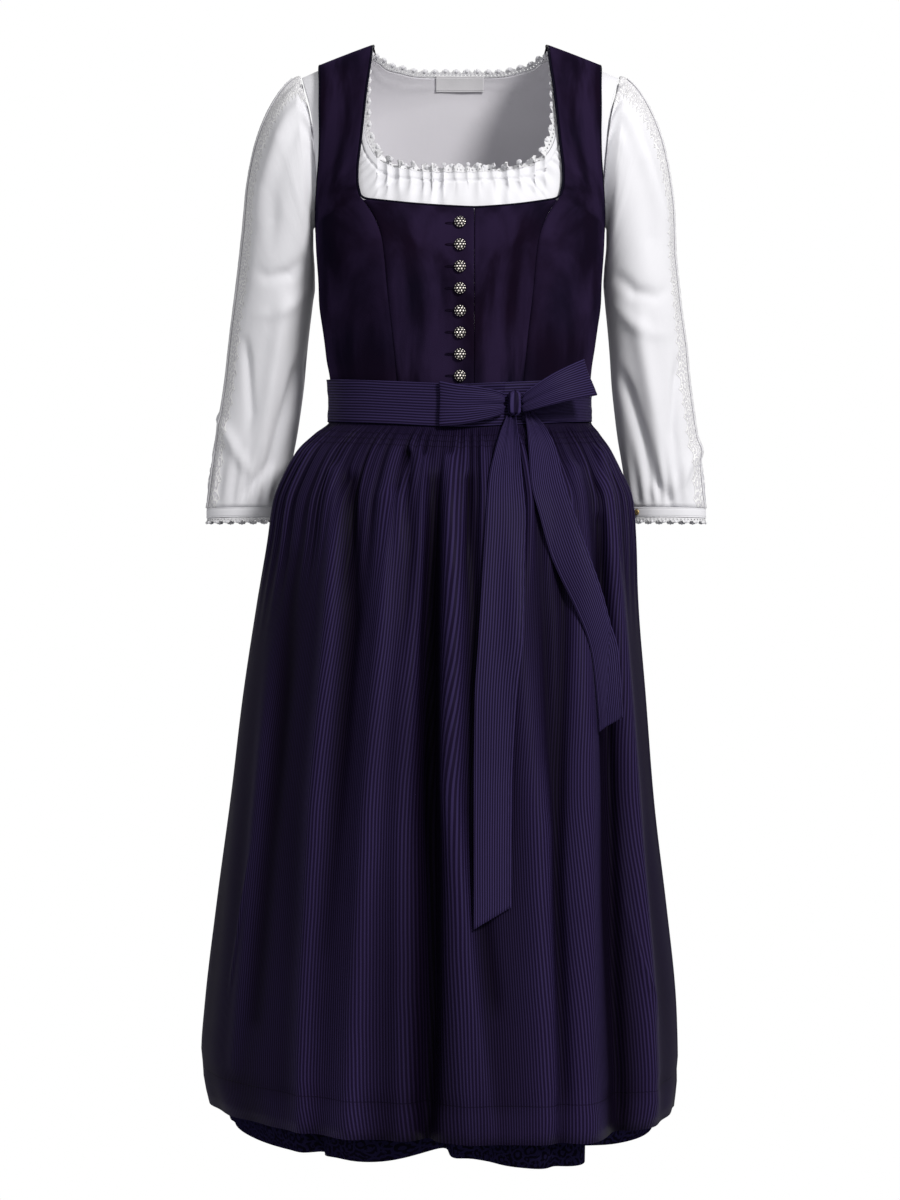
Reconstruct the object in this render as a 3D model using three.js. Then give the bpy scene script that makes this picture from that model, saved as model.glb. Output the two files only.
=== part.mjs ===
// A dirndl with its blouse and apron, hollow and standing open as if worn.
//
// Millimetres. +Z is up, -Y is the front and +X is the wearer's left. The origin lies between the
// shoulders, level with the top of the straps, where the wearer carries the dress.
//
// The bodice and the blouse are cut on one torso form. A place on the form is an angle (0 in front,
// 90 at the side seam) and a reach, which is the way down from the shoulder ridge in millimetres,
// positive on the front and negative on the back. The skirt and the apron hang on one drape, a
// stack of level sections with their folds. Every piece of cloth is a closed wall between a near
// and a far surface, and neighbouring pieces stand SEAM_GAP apart.

import * as THREE from 'three';

// ---------------------------------------------------------------- driving dimensions
const SEAM_GAP = 0.3;
const DEGREES = Math.PI / 180;

const SHOULDER_LINE = { neckX: 97, neckHeight: 3, slope: 0.42, rounding: 60 };
const SHOULDER_ROLL = 70;
const SHOULDER_REACH = 114;
const LEVEL_REACH = 270;
const FORM_REACH = 600;
const SIDE_ANGLE = 89.92;
const SEAM_ANGLE = 0.2;
const SHOULDER_GAP = 0.6;
const TORSO_SQUARENESS = 0.87;

const WAIST_SEAM = -385;
const WAIST_FRONT_DROP = 13;
const BLOUSE_HEM = -300;
const SKIRT_HEM = -1174;
const APRON_HEM = -1147;

const BLOUSE_WALL = { near: -4.4, far: -3.2 };
const BODICE_WALL = { near: 0.3, far: 2.3 };
const SKIRT_WALL = { near: -1.5, far: 0 };
const APRON_WALL = { near: 0.8, far: 2 };
const SLEEVE_WALL = { near: -0.6, far: 0.6 };

const BUST = { x: 82, z: -238, rise: 15, width: 44, height: 46 };
const CLOSING_EDGE_X = 14.5;
const BUTTON = { radius: 6.5, height: 4.5, x: -0.4, first: -206, last: -367, count: 8, lift: 0.7 };
const PIPING_RADIUS = 1;
const PIPING_GAP = 0.8;
const NECK_LACE = { width: 10, picot: 3, pitch: 13 };
const CUFF_LACE = { width: 6, picot: 3, pitch: 12.6 };
const CUFF = { height: 11, near: -0.6, far: 1 };
const BAND = { top: -363, bottom: -409 };
const BAND_LAYERS = [{ near: 1.3, far: 2.3 }, { near: 3, far: 4 }];
const LABEL = { width: 54, top: -17, bottom: -33, wall: 1, gap: 2, columns: 4, rows: 2 };

// ---------------------------------------------------------------- tables and curves

// A smooth curve through (key, value) pairs that never overshoots them.
function smoothThrough(keys, values, key) {
  const last = keys.length - 1;
  const rising = keys[last] > keys[0];
  const place = (k) => (rising ? k : -k);
  if (place(key) <= place(keys[0])) return values[0];
  if (place(key) >= place(keys[last])) return values[last];
  let i = 0;
  while (place(keys[i + 1]) < place(key)) i += 1;
  const slope = (j) => (values[j + 1] - values[j]) / (keys[j + 1] - keys[j]);
  const tangent = (j) => {
    if (j === 0) return slope(0);
    if (j === last) return slope(last - 1);
    const [before, after] = [slope(j - 1), slope(j)];
    return before * after <= 0 ? 0 : (2 * before * after) / (before + after);
  };
  const span = keys[i + 1] - keys[i];
  const t = (key - keys[i]) / span;
  const bend = t * t * (3 - 2 * t);
  return values[i] * (1 - bend) + values[i + 1] * bend
    + span * (tangent(i) * t * (1 - t) * (1 - t) - tangent(i + 1) * t * t * (1 - t));
}

// A table with named columns. The returned function gives every column at one key.
function table(columns, rows) {
  const keys = rows.map((row) => row[0]);
  const names = columns.slice(1);
  const lists = names.map((name, i) => rows.map((row) => row[i + 1]));
  const valueAt = (i, key) => smoothThrough(keys, lists[i], key);
  return (key) => Object.fromEntries(names.map((name, i) => [name, valueAt(i, key)]));
}

function smoothStep(from, to, value) {
  const t = Math.min(1, Math.max(0, (value - from) / (to - from)));
  return t * t * (3 - 2 * t);
}

const mix = (a, b, t) => a + (b - a) * t;
const bell = (distance, width) => Math.exp(-((distance / width) ** 2));
const signedPower = (value, power) => Math.sign(value) * Math.abs(value) ** power;

// ---------------------------------------------------------------- walls

// The unit normal of a surface(u, v), pointing to the side that hint(point) names.
function normalOf(surface, hint, closed) {
  const step = 1e-3;
  const clampOpen = (t) => Math.min(1, Math.max(0, t));
  const raw = (u, v) => {
    const uLow = closed ? u - step : clampOpen(u - step);
    const uHigh = closed ? u + step : clampOpen(u + step);
    const along = surface(uHigh, v).sub(surface(uLow, v));
    const across = surface(u, clampOpen(v + step)).sub(surface(u, clampOpen(v - step)));
    return along.cross(across).normalize();
  };
  const middle = closed ? [0.25, 0.5] : [0.5, 0.5];
  const sign = Math.sign(raw(...middle).dot(hint(surface(...middle))));
  return (u, v) => raw(u, v).multiplyScalar(sign);
}

const awayFromAxis = (point) => new THREE.Vector3(point.x, point.y, 0);

// A closed wall between surface + near and surface + far, measured along its normal.
function clothWall(surface, wall, columns, rows, { closed = false, hint = awayFromAxis } = {}) {
  const normal = normalOf(surface, hint, closed);
  const layer = (distance) => (u, v) => surface(u, v).addScaledVector(normal(u, v), distance);
  return gridWall(layer(wall.near), layer(wall.far), columns, rows, closed);
}

// A closed wall between two grids of points. A closed grid joins its last column to its first.
function gridWall(near, far, columns, rows, closed) {
  const stride = closed ? columns : columns + 1;
  const positions = [];
  for (const layer of [near, far]) {
    for (let j = 0; j <= rows; j += 1) {
      for (let i = 0; i < stride; i += 1) positions.push(...layer(i / columns, j / rows).toArray());
    }
  }
  const at = (layer, i, j) => (layer * (rows + 1) + j) * stride + (closed ? i % columns : i);
  const faces = [];
  const quad = (a, b, c, d) => faces.push(a, b, c, a, c, d);
  for (let j = 0; j < rows; j += 1) {
    for (let i = 0; i < columns; i += 1) {
      quad(at(1, i, j), at(1, i + 1, j), at(1, i + 1, j + 1), at(1, i, j + 1));
      quad(at(0, i, j), at(0, i, j + 1), at(0, i + 1, j + 1), at(0, i + 1, j));
    }
  }
  for (let i = 0; i < columns; i += 1) {
    quad(at(0, i, 0), at(0, i + 1, 0), at(1, i + 1, 0), at(1, i, 0));
    quad(at(1, i, rows), at(1, i + 1, rows), at(0, i + 1, rows), at(0, i, rows));
  }
  if (!closed) {
    for (let j = 0; j < rows; j += 1) {
      quad(at(0, 0, j), at(1, 0, j), at(1, 0, j + 1), at(0, 0, j + 1));
      quad(at(1, columns, j), at(0, columns, j), at(0, columns, j + 1), at(1, columns, j + 1));
    }
  }
  return outwardGeometry(positions, faces);
}

// The geometry of a closed body, with its faces turned outwards.
function outwardGeometry(positions, faces) {
  const corner = (i) => new THREE.Vector3().fromArray(positions, 3 * i);
  let volume = 0;
  for (let f = 0; f < faces.length; f += 3) {
    volume += corner(faces[f]).dot(corner(faces[f + 1]).cross(corner(faces[f + 2])));
  }
  if (volume < 0) faces.reverse();
  const geometry = new THREE.BufferGeometry();
  geometry.setAttribute('position', new THREE.Float32BufferAttribute(positions, 3));
  geometry.setIndex(faces);
  geometry.computeVertexNormals();
  return geometry;
}

// A roll of small radius along a list of frames, with a square section.
function roll(frames, radius, closed) {
  const SIDES = 4;
  const section = (frame, k) => frame.point.clone()
    .addScaledVector(frame.normal, radius * Math.cos((k / SIDES) * 2 * Math.PI))
    .addScaledVector(frame.inward, radius * Math.sin((k / SIDES) * 2 * Math.PI));
  const positions = frames.flatMap((frame) => [0, 1, 2, 3].flatMap((k) => section(frame, k).toArray()));
  const faces = [];
  const count = frames.length;
  const spans = closed ? count : count - 1;
  for (let i = 0; i < spans; i += 1) {
    for (let k = 0; k < SIDES; k += 1) {
      const [a, b] = [i * SIDES + k, i * SIDES + ((k + 1) % SIDES)];
      const [c, d] = [((i + 1) % count) * SIDES + ((k + 1) % SIDES), ((i + 1) % count) * SIDES + k];
      faces.push(a, b, c, a, c, d);
    }
  }
  if (!closed) {
    const end = (count - 1) * SIDES;
    faces.push(0, 3, 2, 0, 2, 1, end, end + 1, end + 2, end, end + 2, end + 3);
  }
  return outwardGeometry(positions, faces);
}

// ---------------------------------------------------------------- torso form

const torsoAt = table(['z', 'halfWidth', 'front', 'back', 'centreY'], [
  [10, 218, 62, 58, 5],
  [-40, 200, 72, 72, 5],
  [-100, 180, 84, 88, 4],
  [-140, 168, 91, 95, 4],
  [-180, 158.7, 98, 99, 3],
  [-224, 155, 105, 99, 0],
  [-275, 152.7, 104, 94, 0],
  [-308, 148.4, 100, 90, 0],
  [-341, 144, 97, 88, 0],
  [-363, 140.7, 96, 87, 0],
  [-385, 138.7, 95.5, 86.5, 0],
  [-420, 138.7, 95.5, 86.5, 0],
]);

// The height of the shoulder ridge, which falls outwards and is level at the centre.
function ridgeHeight(x) {
  const { neckX, neckHeight, slope, rounding } = SHOULDER_LINE;
  return neckHeight - slope * (Math.hypot(x, rounding) - Math.hypot(neckX, rounding));
}

// The height of a place at x, and how far the form has rounded out there. The slope of the ridge
// fades out on the way down, so that lines round the waist are level.
function shoulderRoll(x, reach) {
  const length = Math.abs(reach);
  const slope = ridgeHeight(x) * (1 - smoothStep(SHOULDER_REACH, LEVEL_REACH, length));
  if (length >= SHOULDER_REACH) return { z: slope - SHOULDER_ROLL - length + SHOULDER_REACH, fullness: 1 };
  const turn = (length / SHOULDER_REACH) * 90 * DEGREES;
  return { z: slope - SHOULDER_ROLL * (1 - Math.cos(turn)), fullness: Math.sin(turn) };
}

// A point of the torso form.
function torso(angle, reach) {
  const clamped = Math.min(SIDE_ANGLE, Math.max(-SIDE_ANGLE, angle)) * DEGREES;
  const across = signedPower(Math.sin(clamped), TORSO_SQUARENESS);
  const ahead = Math.cos(clamped) ** TORSO_SQUARENESS;
  let x = 0;
  let { z, fullness } = shoulderRoll(x, reach);
  for (let pass = 0; pass < 8; pass += 1) {
    x = torsoAt(z).halfWidth * across;
    ({ z, fullness } = shoulderRoll(x, reach));
  }
  const section = torsoAt(z);
  const bust = BUST.rise * ahead * bell(Math.abs(x) - BUST.x, BUST.width) * bell(z - BUST.z, BUST.height);
  const y = reach >= 0
    ? section.centreY - section.front * ahead * fullness - bust
    : section.centreY + section.back * ahead * fullness;
  return new THREE.Vector3(x, y, z);
}

// The angle and reach of a place given by its x and z. An infinite x is the side seam.
function formPlace(x, z, onBack = false) {
  const { halfWidth } = torsoAt(z);
  const across = Math.min(1, Math.abs(x) / halfWidth);
  const angle = Math.sign(x) * Math.min(SIDE_ANGLE, Math.asin(across ** (1 / TORSO_SQUARENESS)) / DEGREES);
  let [reach, span] = [0, FORM_REACH];
  while (span > 1e-4) {
    span /= 2;
    if (shoulderRoll(across * halfWidth, reach + span).z > z) reach += span;
  }
  return new THREE.Vector3(angle, onBack ? -reach : reach, 0);
}

const RIDGE = 'ridge';
const WAIST = 'waist';

// How far the waist seam dips below its height at the side seams.
function frontDrop(angle) {
  const turned = (((angle % 360) + 540) % 360) - 180;
  return -WAIST_FRONT_DROP * Math.max(0, 1 - Math.abs(turned) / 90);
}

// The stations of a panel's edge: places on the form through [x, z] rows, with each span between
// rows divided into parts. RIDGE as z is the shoulder seam and WAIST is the waist seam.
function edge(rows, { onBack = false, parts = 1, side = 1, shift = 0 } = {}) {
  const places = rows.map(([x, z]) => {
    if (z === RIDGE) {
      return formPlace(side * x, ridgeHeight(x), onBack).setY(onBack ? -SHOULDER_GAP : SHOULDER_GAP);
    }
    if (z !== WAIST) return formPlace(side * x, z, onBack);
    const level = formPlace(side * x, WAIST_SEAM + SEAM_GAP, onBack);
    const drop = onBack ? 0 : frontDrop(level.x);
    return formPlace(side * x, WAIST_SEAM + SEAM_GAP + drop, onBack);
  });
  const keys = places.map((place, i) => i);
  const [angles, reaches] = [places.map(({ x }) => x), places.map(({ y }) => y)];
  const count = (places.length - 1) * parts;
  return Array.from({ length: count + 1 }, (station, i) => new THREE.Vector3(
    smoothThrough(keys, angles, i / parts) + side * shift,
    smoothThrough(keys, reaches, i / parts),
    0,
  ));
}

// Two edges that meet, as one.
const joined = (first, second) => [...first, ...second.slice(1)];

// The first edge with as many stations as the second.
function resampled(stations, like) {
  return like.map((station, i) => placeAlong(stations, i / (like.length - 1)));
}

// The place at t along an edge, on the straight between its stations.
function placeAlong(stations, t) {
  const position = Math.min(1, Math.max(0, t)) * (stations.length - 1);
  const i = Math.min(stations.length - 2, Math.floor(position));
  return stations[i].clone().lerp(stations[i + 1], position - i);
}

// A panel on the torso form between two edges: u runs from the first to the second, v along both.
function panelBetween(first, second, sag = () => 0) {
  return (u, v) => {
    const place = placeAlong(first, v).lerp(placeAlong(second, v), u);
    return torso(place.x, place.y + sag(u, v));
  };
}

// ---------------------------------------------------------------- materials

function cloth(color, roughness) {
  return new THREE.MeshStandardMaterial({ color, roughness, metalness: 0 });
}

const COLOURS = {
  velvet: 0x1c1730,
  brocade: 0x191a33,
  apron: 0x2a2440,
  blouse: 0xf2f2f6,
  lace: 0xf7f7f9,
  silver: 0xb9b6ae,
  gold: 0xb89a5e,
};

const dirndl = new THREE.Group();

function add(name, geometry, colour, roughness = 0.9, metalness = 0) {
  const material = cloth(COLOURS[colour], roughness);
  material.metalness = metalness;
  const mesh = new THREE.Mesh(geometry, material);
  mesh.name = name;
  dirndl.add(mesh);
  return mesh;
}

// ---------------------------------------------------------------- bodice

const SIDE_SEAM = Infinity;
const PRINCESS_FRONT = [[66, WAIST], [71, -330], [77, -275], [82, -225], [90, -200], [103, -177.5]];
const STRAP_INNER = [
  [103, -177.5], [107.5, -171], [110, -160], [110.5, -143], [106.5, -105], [102, -60], [97, -18],
  [94.5, RIDGE],
];
const FRONT_SIDE_SEAM = [
  [SIDE_SEAM, WAIST], [SIDE_SEAM, -345], [SIDE_SEAM, -308], [SIDE_SEAM, -272], [SIDE_SEAM, -237],
  [SIDE_SEAM, -204],
];
const STRAP_OUTER = [
  [SIDE_SEAM, -204], [156.2, -198], [155.8, -180], [153.5, -157], [150.5, -125], [150, -82], [151, -38],
  [151.5, RIDGE],
];
const CLOSING_EDGE = [WAIST, -335, -285, -240, -212, -190];
const SIDE_BACK_OUTER = [
  [SIDE_SEAM, WAIST], [SIDE_SEAM, -330], [SIDE_SEAM, -265], [SIDE_SEAM, -204], [155.8, -190], [151, -136],
];
const PRINCESS_BACK = [[44, WAIST], [48, -340], [56, -280], [74, -225], [108, -180], [150, -132]];
const STRAP_BACK_OUTER = [[150, -132], [150.5, -90], [151.5, -40], [151.5, RIDGE]];
const BACK_NECK_HALF = [[0, -53], [34, -51], [68, -42], [90, -22], [97, RIDGE]];
const BACK_WAIST_HALF = [[0, WAIST], [22, WAIST], [44, WAIST]];
const NECKLINE_SAG = 2.5;
const PRINCESS_PARTS = 2;
const STRAP_PARTS = 2;

const frontPanels = {};
const sideBackPanels = {};
for (const side of [-1, 1]) {
  const name = side > 0 ? 'left' : 'right';
  const seam = { side, parts: PRINCESS_PARTS };
  const besideSeam = { ...seam, shift: SEAM_ANGLE };

  const strap = edge(STRAP_INNER, { ...besideSeam, parts: STRAP_PARTS });
  const inner = joined(edge(PRINCESS_FRONT, besideSeam), strap);
  const outer = joined(edge(FRONT_SIDE_SEAM, seam), edge(STRAP_OUTER, { side, parts: STRAP_PARTS }));
  const sideFront = { surface: panelBetween(inner, outer), columns: 4, rows: inner.length - 1 };
  const closingX = CLOSING_EDGE_X + (side > 0 ? SEAM_GAP : 0);
  const closing = edge(CLOSING_EDGE.map((z) => [closingX, z]), { parts: PRINCESS_PARTS });
  const sag = (u, v) => NECKLINE_SAG * Math.sin(Math.PI * u) * v ** 8;
  const princess = edge(PRINCESS_FRONT, seam);
  const centreFront = {
    surface: panelBetween(princess, closing, sag),
    columns: 5,
    rows: princess.length - 1,
  };
  frontPanels[name] = { sideFront, centreFront };

  const backOuter = edge(SIDE_BACK_OUTER, { ...seam, onBack: true });
  const backPrincess = edge(PRINCESS_BACK, { ...besideSeam, onBack: true });
  const sideBack = {
    surface: panelBetween(backOuter, backPrincess),
    columns: 4,
    rows: backOuter.length - 1,
  };
  sideBackPanels[name] = sideBack;

  const panels = { side_front: sideFront, centre_front: centreFront, side_back: sideBack };
  for (const [piece, panel] of Object.entries(panels)) {
    const { surface, columns, rows } = panel;
    add(`bodice_${piece}_${name}`, clothWall(surface, BODICE_WALL, columns, rows), 'velvet');
  }
}

// An edge from the centre outwards on the left, carried on from its mirror image on the right.
function acrossCentre(leftHalf) {
  const rightHalf = leftHalf.slice(1).reverse().map((place) => new THREE.Vector3(-place.x, place.y, 0));
  return [...rightHalf, ...leftHalf];
}

const backPlacing = { onBack: true, parts: PRINCESS_PARTS };
const centreBackOutline = acrossCentre(joined(
  joined(edge(BACK_WAIST_HALF, backPlacing), edge(PRINCESS_BACK, backPlacing)),
  edge(STRAP_BACK_OUTER, { onBack: true, parts: STRAP_PARTS }),
));
const backNeck = acrossCentre(edge(BACK_NECK_HALF, { onBack: true, parts: 6 }));
const centreBackNeck = resampled(backNeck, centreBackOutline);
const centreBack = {
  surface: panelBetween(centreBackNeck, centreBackOutline),
  columns: 4,
  rows: centreBackOutline.length - 1,
};
add(
  'bodice_centre_back',
  clothWall(centreBack.surface, BODICE_WALL, centreBack.columns, centreBack.rows),
  'velvet',
);

// ---------------------------------------------------------------- piping

// The frame of a panel's rim at (u, v): a point in the middle of its wall and the normal there.
function rimFrame(panel, u, v) {
  const normal = normalOf(panel.surface, awayFromAxis, false)(u, v);
  const middle = mix(BODICE_WALL.near, BODICE_WALL.far, 0.5);
  return { point: panel.surface(u, v).addScaledVector(normal, middle), normal };
}

// A roll that follows rims, PIPING_RADIUS thick and PIPING_GAP off them on the side of the
// opening's centre.
function piping(frames, centre, closed) {
  const count = frames.length;
  const neighbour = (i) => (closed ? (i + count) % count : Math.min(count - 1, Math.max(0, i)));
  const placed = frames.map((frame, i) => {
    const [before, after] = [frames[neighbour(i - 1)].point, frames[neighbour(i + 1)].point];
    const arriving = frame.point.clone().sub(before).normalize();
    const going = after.clone().sub(frame.point).normalize();
    const tangent = arriving.clone().add(going).normalize();
    const mitre = Math.max(0.6, Math.max(tangent.dot(arriving), tangent.dot(going)));
    const square = tangent.clone().cross(frame.normal).normalize();
    const inward = square.multiplyScalar(Math.sign(square.dot(centre.clone().sub(frame.point))));
    const normal = inward.clone().cross(tangent).normalize();
    const point = frame.point.clone().addScaledVector(inward, (PIPING_RADIUS + PIPING_GAP) / mitre);
    return { point, normal, inward };
  });
  return roll(placed, PIPING_RADIUS, closed);
}

const steps = (from, to, count) => Array.from({ length: count + 1 }, (step, i) => mix(from, to, i / count));

// The rim of a side front: its neck or armhole edge from one station to another.
function strapRim(panel, atU, fromRow, toRow) {
  const rows = steps(fromRow, toRow, Math.abs(toRow - fromRow));
  return rows.map((row) => rimFrame(panel, atU, row / panel.rows));
}

const NECK_CENTRE = new THREE.Vector3(0, -20, 40);
const cornerRow = (PRINCESS_FRONT.length - 1) * PRINCESS_PARTS;
const underarmRow = (FRONT_SIDE_SEAM.length - 1) * PRINCESS_PARTS;
const underarmRowBack = 3 * PRINCESS_PARTS;
const topRow = frontPanels.left.sideFront.rows;
const topEdge = (panel, from, to) => steps(from, to, panel.columns).map((u) => rimFrame(panel, u, 1));
const backNeckRim = steps(1, 0, centreBack.rows).map((v) => rimFrame(centreBack, 0, v));
add('bodice_neck_piping', piping([
  ...strapRim(frontPanels.right.sideFront, 0, topRow, cornerRow + 1),
  ...topEdge(frontPanels.right.centreFront, 0, 1),
  ...topEdge(frontPanels.left.centreFront, 1, 0).slice(1),
  ...strapRim(frontPanels.left.sideFront, 0, cornerRow + 1, topRow),
  ...backNeckRim.slice(1, -1),
], NECK_CENTRE, true), 'velvet', 0.6);

for (const side of [-1, 1]) {
  const name = side > 0 ? 'left' : 'right';
  const { sideFront } = frontPanels[name];
  const sideBack = sideBackPanels[name];
  const armholeCentre = new THREE.Vector3(side * 152, 5, -105);
  const armholeRows = (STRAP_BACK_OUTER.length - 1) * STRAP_PARTS;
  const backRows = side > 0 ? steps(centreBack.rows - armholeRows, centreBack.rows, armholeRows)
    : steps(armholeRows, 0, armholeRows);
  const sideBackRows = steps(underarmRowBack, sideBack.rows, sideBack.rows - underarmRowBack);
  add(`bodice_armhole_piping_${name}`, piping([
    ...strapRim(sideFront, 1, topRow, underarmRow),
    ...sideBackRows.slice(1).map((row) => rimFrame(sideBack, 0, row / sideBack.rows)),
    ...backRows.slice(1).map((row) => rimFrame(centreBack, 1, row / centreBack.rows)),
  ], armholeCentre, false), 'velvet', 0.6);
}

// ---------------------------------------------------------------- buttons

// A domed button standing on a point, facing along a direction.
function domedButton(point, facing, radius, height) {
  const profile = [[0, 0], [0.72, 0], [1, 0.3], [0.86, 0.66], [0.5, 0.93], [0, 1]];
  const outline = profile.map(([r, h]) => new THREE.Vector2(r * radius, h * height));
  const geometry = new THREE.LatheGeometry(outline, 8);
  const turn = new THREE.Quaternion().setFromUnitVectors(new THREE.Vector3(0, 1, 0), facing);
  return { geometry, turn, point };
}

function addButton(name, { geometry, turn, point }, colour) {
  const button = add(name, geometry, colour, 0.35, 1);
  button.quaternion.copy(turn);
  button.position.copy(point);
}

for (let i = 0; i < BUTTON.count; i += 1) {
  const z = mix(BUTTON.first, BUTTON.last, i / (BUTTON.count - 1));
  const place = formPlace(BUTTON.x, z);
  const onForm = torso(place.x, place.y);
  const above = torso(place.x, place.y - 1);
  const facing = new THREE.Vector3(0, onForm.z - above.z, above.y - onForm.y).normalize();
  const point = onForm.addScaledVector(facing, BODICE_WALL.far + BUTTON.lift);
  addButton(`bodice_button_${i + 1}`, domedButton(point, facing, BUTTON.radius, BUTTON.height), 'silver');
}

// ---------------------------------------------------------------- blouse body

const BLOUSE_NECK_HALF = [
  [0, -137], [30, -136], [58, -132.5], [80, -121], [93, -94], [94.5, -58], [94.5, -24], [94.5, RIDGE],
];
const BLOUSE_OUTLINE_HALF = [
  [0, BLOUSE_HEM], [80, BLOUSE_HEM], [SIDE_SEAM, BLOUSE_HEM], [SIDE_SEAM, -190], [158.5, -160],
  [160, -122], [165, -72], [175, RIDGE],
];
const BLOUSE_BACK_NECK_HALF = [
  [0, -9], [26, -7.5], [50, -3.5], [70, 2], [82, 5], [88, 4.5], [92, 3], [94.5, RIDGE],
];
const BLOUSE_PARTS = 2;
const NECK_CROWDING = 1.5;
const BACK_SAG = 48;
// Each row is one gather below the neck edge: where it starts, how deep and how wide it is there
// and how far down it runs.
const gathers = [
  { x: -72, depth: 1.6, width: 5, length: 60 },
  { x: -60, depth: 1.2, width: 4, length: 40 },
  { x: -46, depth: 1.6, width: 5, length: 62 },
  { x: -35, depth: 1.3, width: 4, length: 45 },
  { x: -24, depth: 1.9, width: 5, length: 70 },
  { x: -12, depth: 1.3, width: 4, length: 40 },
  { x: 14, depth: 1.4, width: 4, length: 45 },
  { x: 29, depth: 1.2, width: 4, length: 38 },
  { x: 44, depth: 1.9, width: 5, length: 66 },
  { x: 58, depth: 1.3, width: 4, length: 44 },
  { x: 74, depth: 1.4, width: 5, length: 50 },
];

function gatherDepth(x, z) {
  const below = BLOUSE_NECK_HALF[0][1] - NECK_LACE.width - z;
  return gathers.reduce((sum, { x: at, depth, width, length }) => {
    const spread = width * (1 + Math.max(0, below) / length);
    return sum + depth * bell(x - at, spread) * (1 - smoothStep(0, length, below));
  }, 0);
}

// A blouse body panel with its neck edge as u = 0, moved out by the width of the neck lace. The lines
// across the back sag between neck and armhole, so that they meet the underarm curve from inside it.
function blousePanel(neck, outline, onBack) {
  const sag = (u, v) => (onBack ? -BACK_SAG * Math.sin(Math.PI * u) * Math.sin(2 * Math.PI * v) ** 2 : 0);
  const full = panelBetween(neck, outline, sag);
  return (u, v) => {
    const length = full(0, v).distanceTo(full(1, v));
    const start = (NECK_LACE.width + SEAM_GAP) / length;
    const point = full(mix(start, 1, u ** NECK_CROWDING), v);
    if (onBack) return point;
    point.y += gatherDepth(point.x, point.z);
    return point;
  };
}

const blouseGrid = { columns: 5, rows: (BLOUSE_OUTLINE_HALF.length - 1) * 2 * BLOUSE_PARTS };
const blouseFront = blousePanel(
  acrossCentre(edge(BLOUSE_NECK_HALF, { parts: BLOUSE_PARTS })),
  acrossCentre(edge(BLOUSE_OUTLINE_HALF, { parts: BLOUSE_PARTS })),
  false,
);
const blouseBack = blousePanel(
  acrossCentre(edge(BLOUSE_BACK_NECK_HALF, { onBack: true, parts: BLOUSE_PARTS })),
  acrossCentre(edge(BLOUSE_OUTLINE_HALF, { onBack: true, parts: BLOUSE_PARTS })),
  true,
);
for (const [name, surface] of Object.entries({ blouse_front: blouseFront, blouse_back: blouseBack })) {
  add(name, clothWall(surface, BLOUSE_WALL, blouseGrid.columns, blouseGrid.rows), 'blouse');
}

// ---------------------------------------------------------------- lace edgings

const LACE_GAP = 0.6;

// A flat edging along a rim: rim(t) gives its point, its normal and the direction that it leaves
// in. The free edge runs in picots, one point out and one back for each pitch.
function edging(rim, { width, picot, count, closed, wall = 1 }) {
  const segments = count * 2;
  const layer = (distance) => (u, v) => {
    const { point, normal, leaving } = rim(u);
    const outmost = Math.round(u * segments) % 2 === 0 ? width : width - picot;
    const out = mix(LACE_GAP, outmost, v);
    return point.clone().addScaledVector(leaving, out).addScaledVector(normal, distance);
  };
  return gridWall(layer(-wall / 2), layer(wall / 2), segments, 1, closed);
}

// The rim frames of a cloth wall's grid at the stations of one edge.
function rimOf(surface, wall, stations, place, inside, hint, closedWall = false) {
  const normal = normalOf(surface, hint, closedWall);
  const middle = mix(wall.near, wall.far, 0.5);
  const lifted = (u, v) => surface(u, v).addScaledVector(normal(u, v), middle);
  return stations.map((t) => {
    const [u, v] = place(t);
    const point = lifted(u, v);
    return { point, normal: normal(u, v), leaving: point.clone().sub(lifted(...inside(t))).normalize() };
  });
}

// A rim as a function of 0 to 1 through its frames.
function alongRim(frames, closed) {
  const spans = closed ? frames.length : frames.length - 1;
  return (t) => {
    const position = Math.min(spans - 1e-9, Math.max(0, t * spans));
    const i = Math.floor(position);
    const [a, b] = [frames[i], frames[(i + 1) % frames.length]];
    const blend = (key) => a[key].clone().lerp(b[key], position - i);
    return {
      point: blend('point'),
      normal: blend('normal').normalize(),
      leaving: blend('leaving').normalize(),
    };
  };
}

// The length all round a closed rim.
function lengthRound(rim) {
  return rim.reduce((sum, frame, i) => (
    sum + frame.point.distanceTo(rim[(i + 1) % rim.length].point)), 0);
}

const rimStep = 0.05;
const frontStations = steps(0, 1, blouseGrid.rows);
const neckRim = [
  ...rimOf(blouseFront, BLOUSE_WALL, frontStations, (t) => [0, t], (t) => [rimStep, t], awayFromAxis),
  ...rimOf(blouseBack, BLOUSE_WALL, [...frontStations].reverse(), (t) => [0, t], (t) => [rimStep, t],
    awayFromAxis),
];
const neckRound = lengthRound(neckRim);
add('blouse_neck_lace', edging(alongRim(neckRim, true), {
  ...NECK_LACE, count: Math.round(neckRound / NECK_LACE.pitch), closed: true,
}), 'lace');

// ---------------------------------------------------------------- label

// The bare label inside the back neck, hanging just inside the blouse back.
function labelWall() {
  const inside = (depth) => (u, v) => {
    const x = mix(-LABEL.width / 2, LABEL.width / 2, u);
    const place = formPlace(x, mix(LABEL.bottom, LABEL.top, v), true);
    return torso(place.x, place.y).add(new THREE.Vector3(0, BLOUSE_WALL.near - depth, 0));
  };
  return gridWall(inside(LABEL.gap), inside(LABEL.gap + LABEL.wall), LABEL.columns, LABEL.rows, false);
}
add('blouse_label', labelWall(), 'blouse');

// ---------------------------------------------------------------- sleeves

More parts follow.
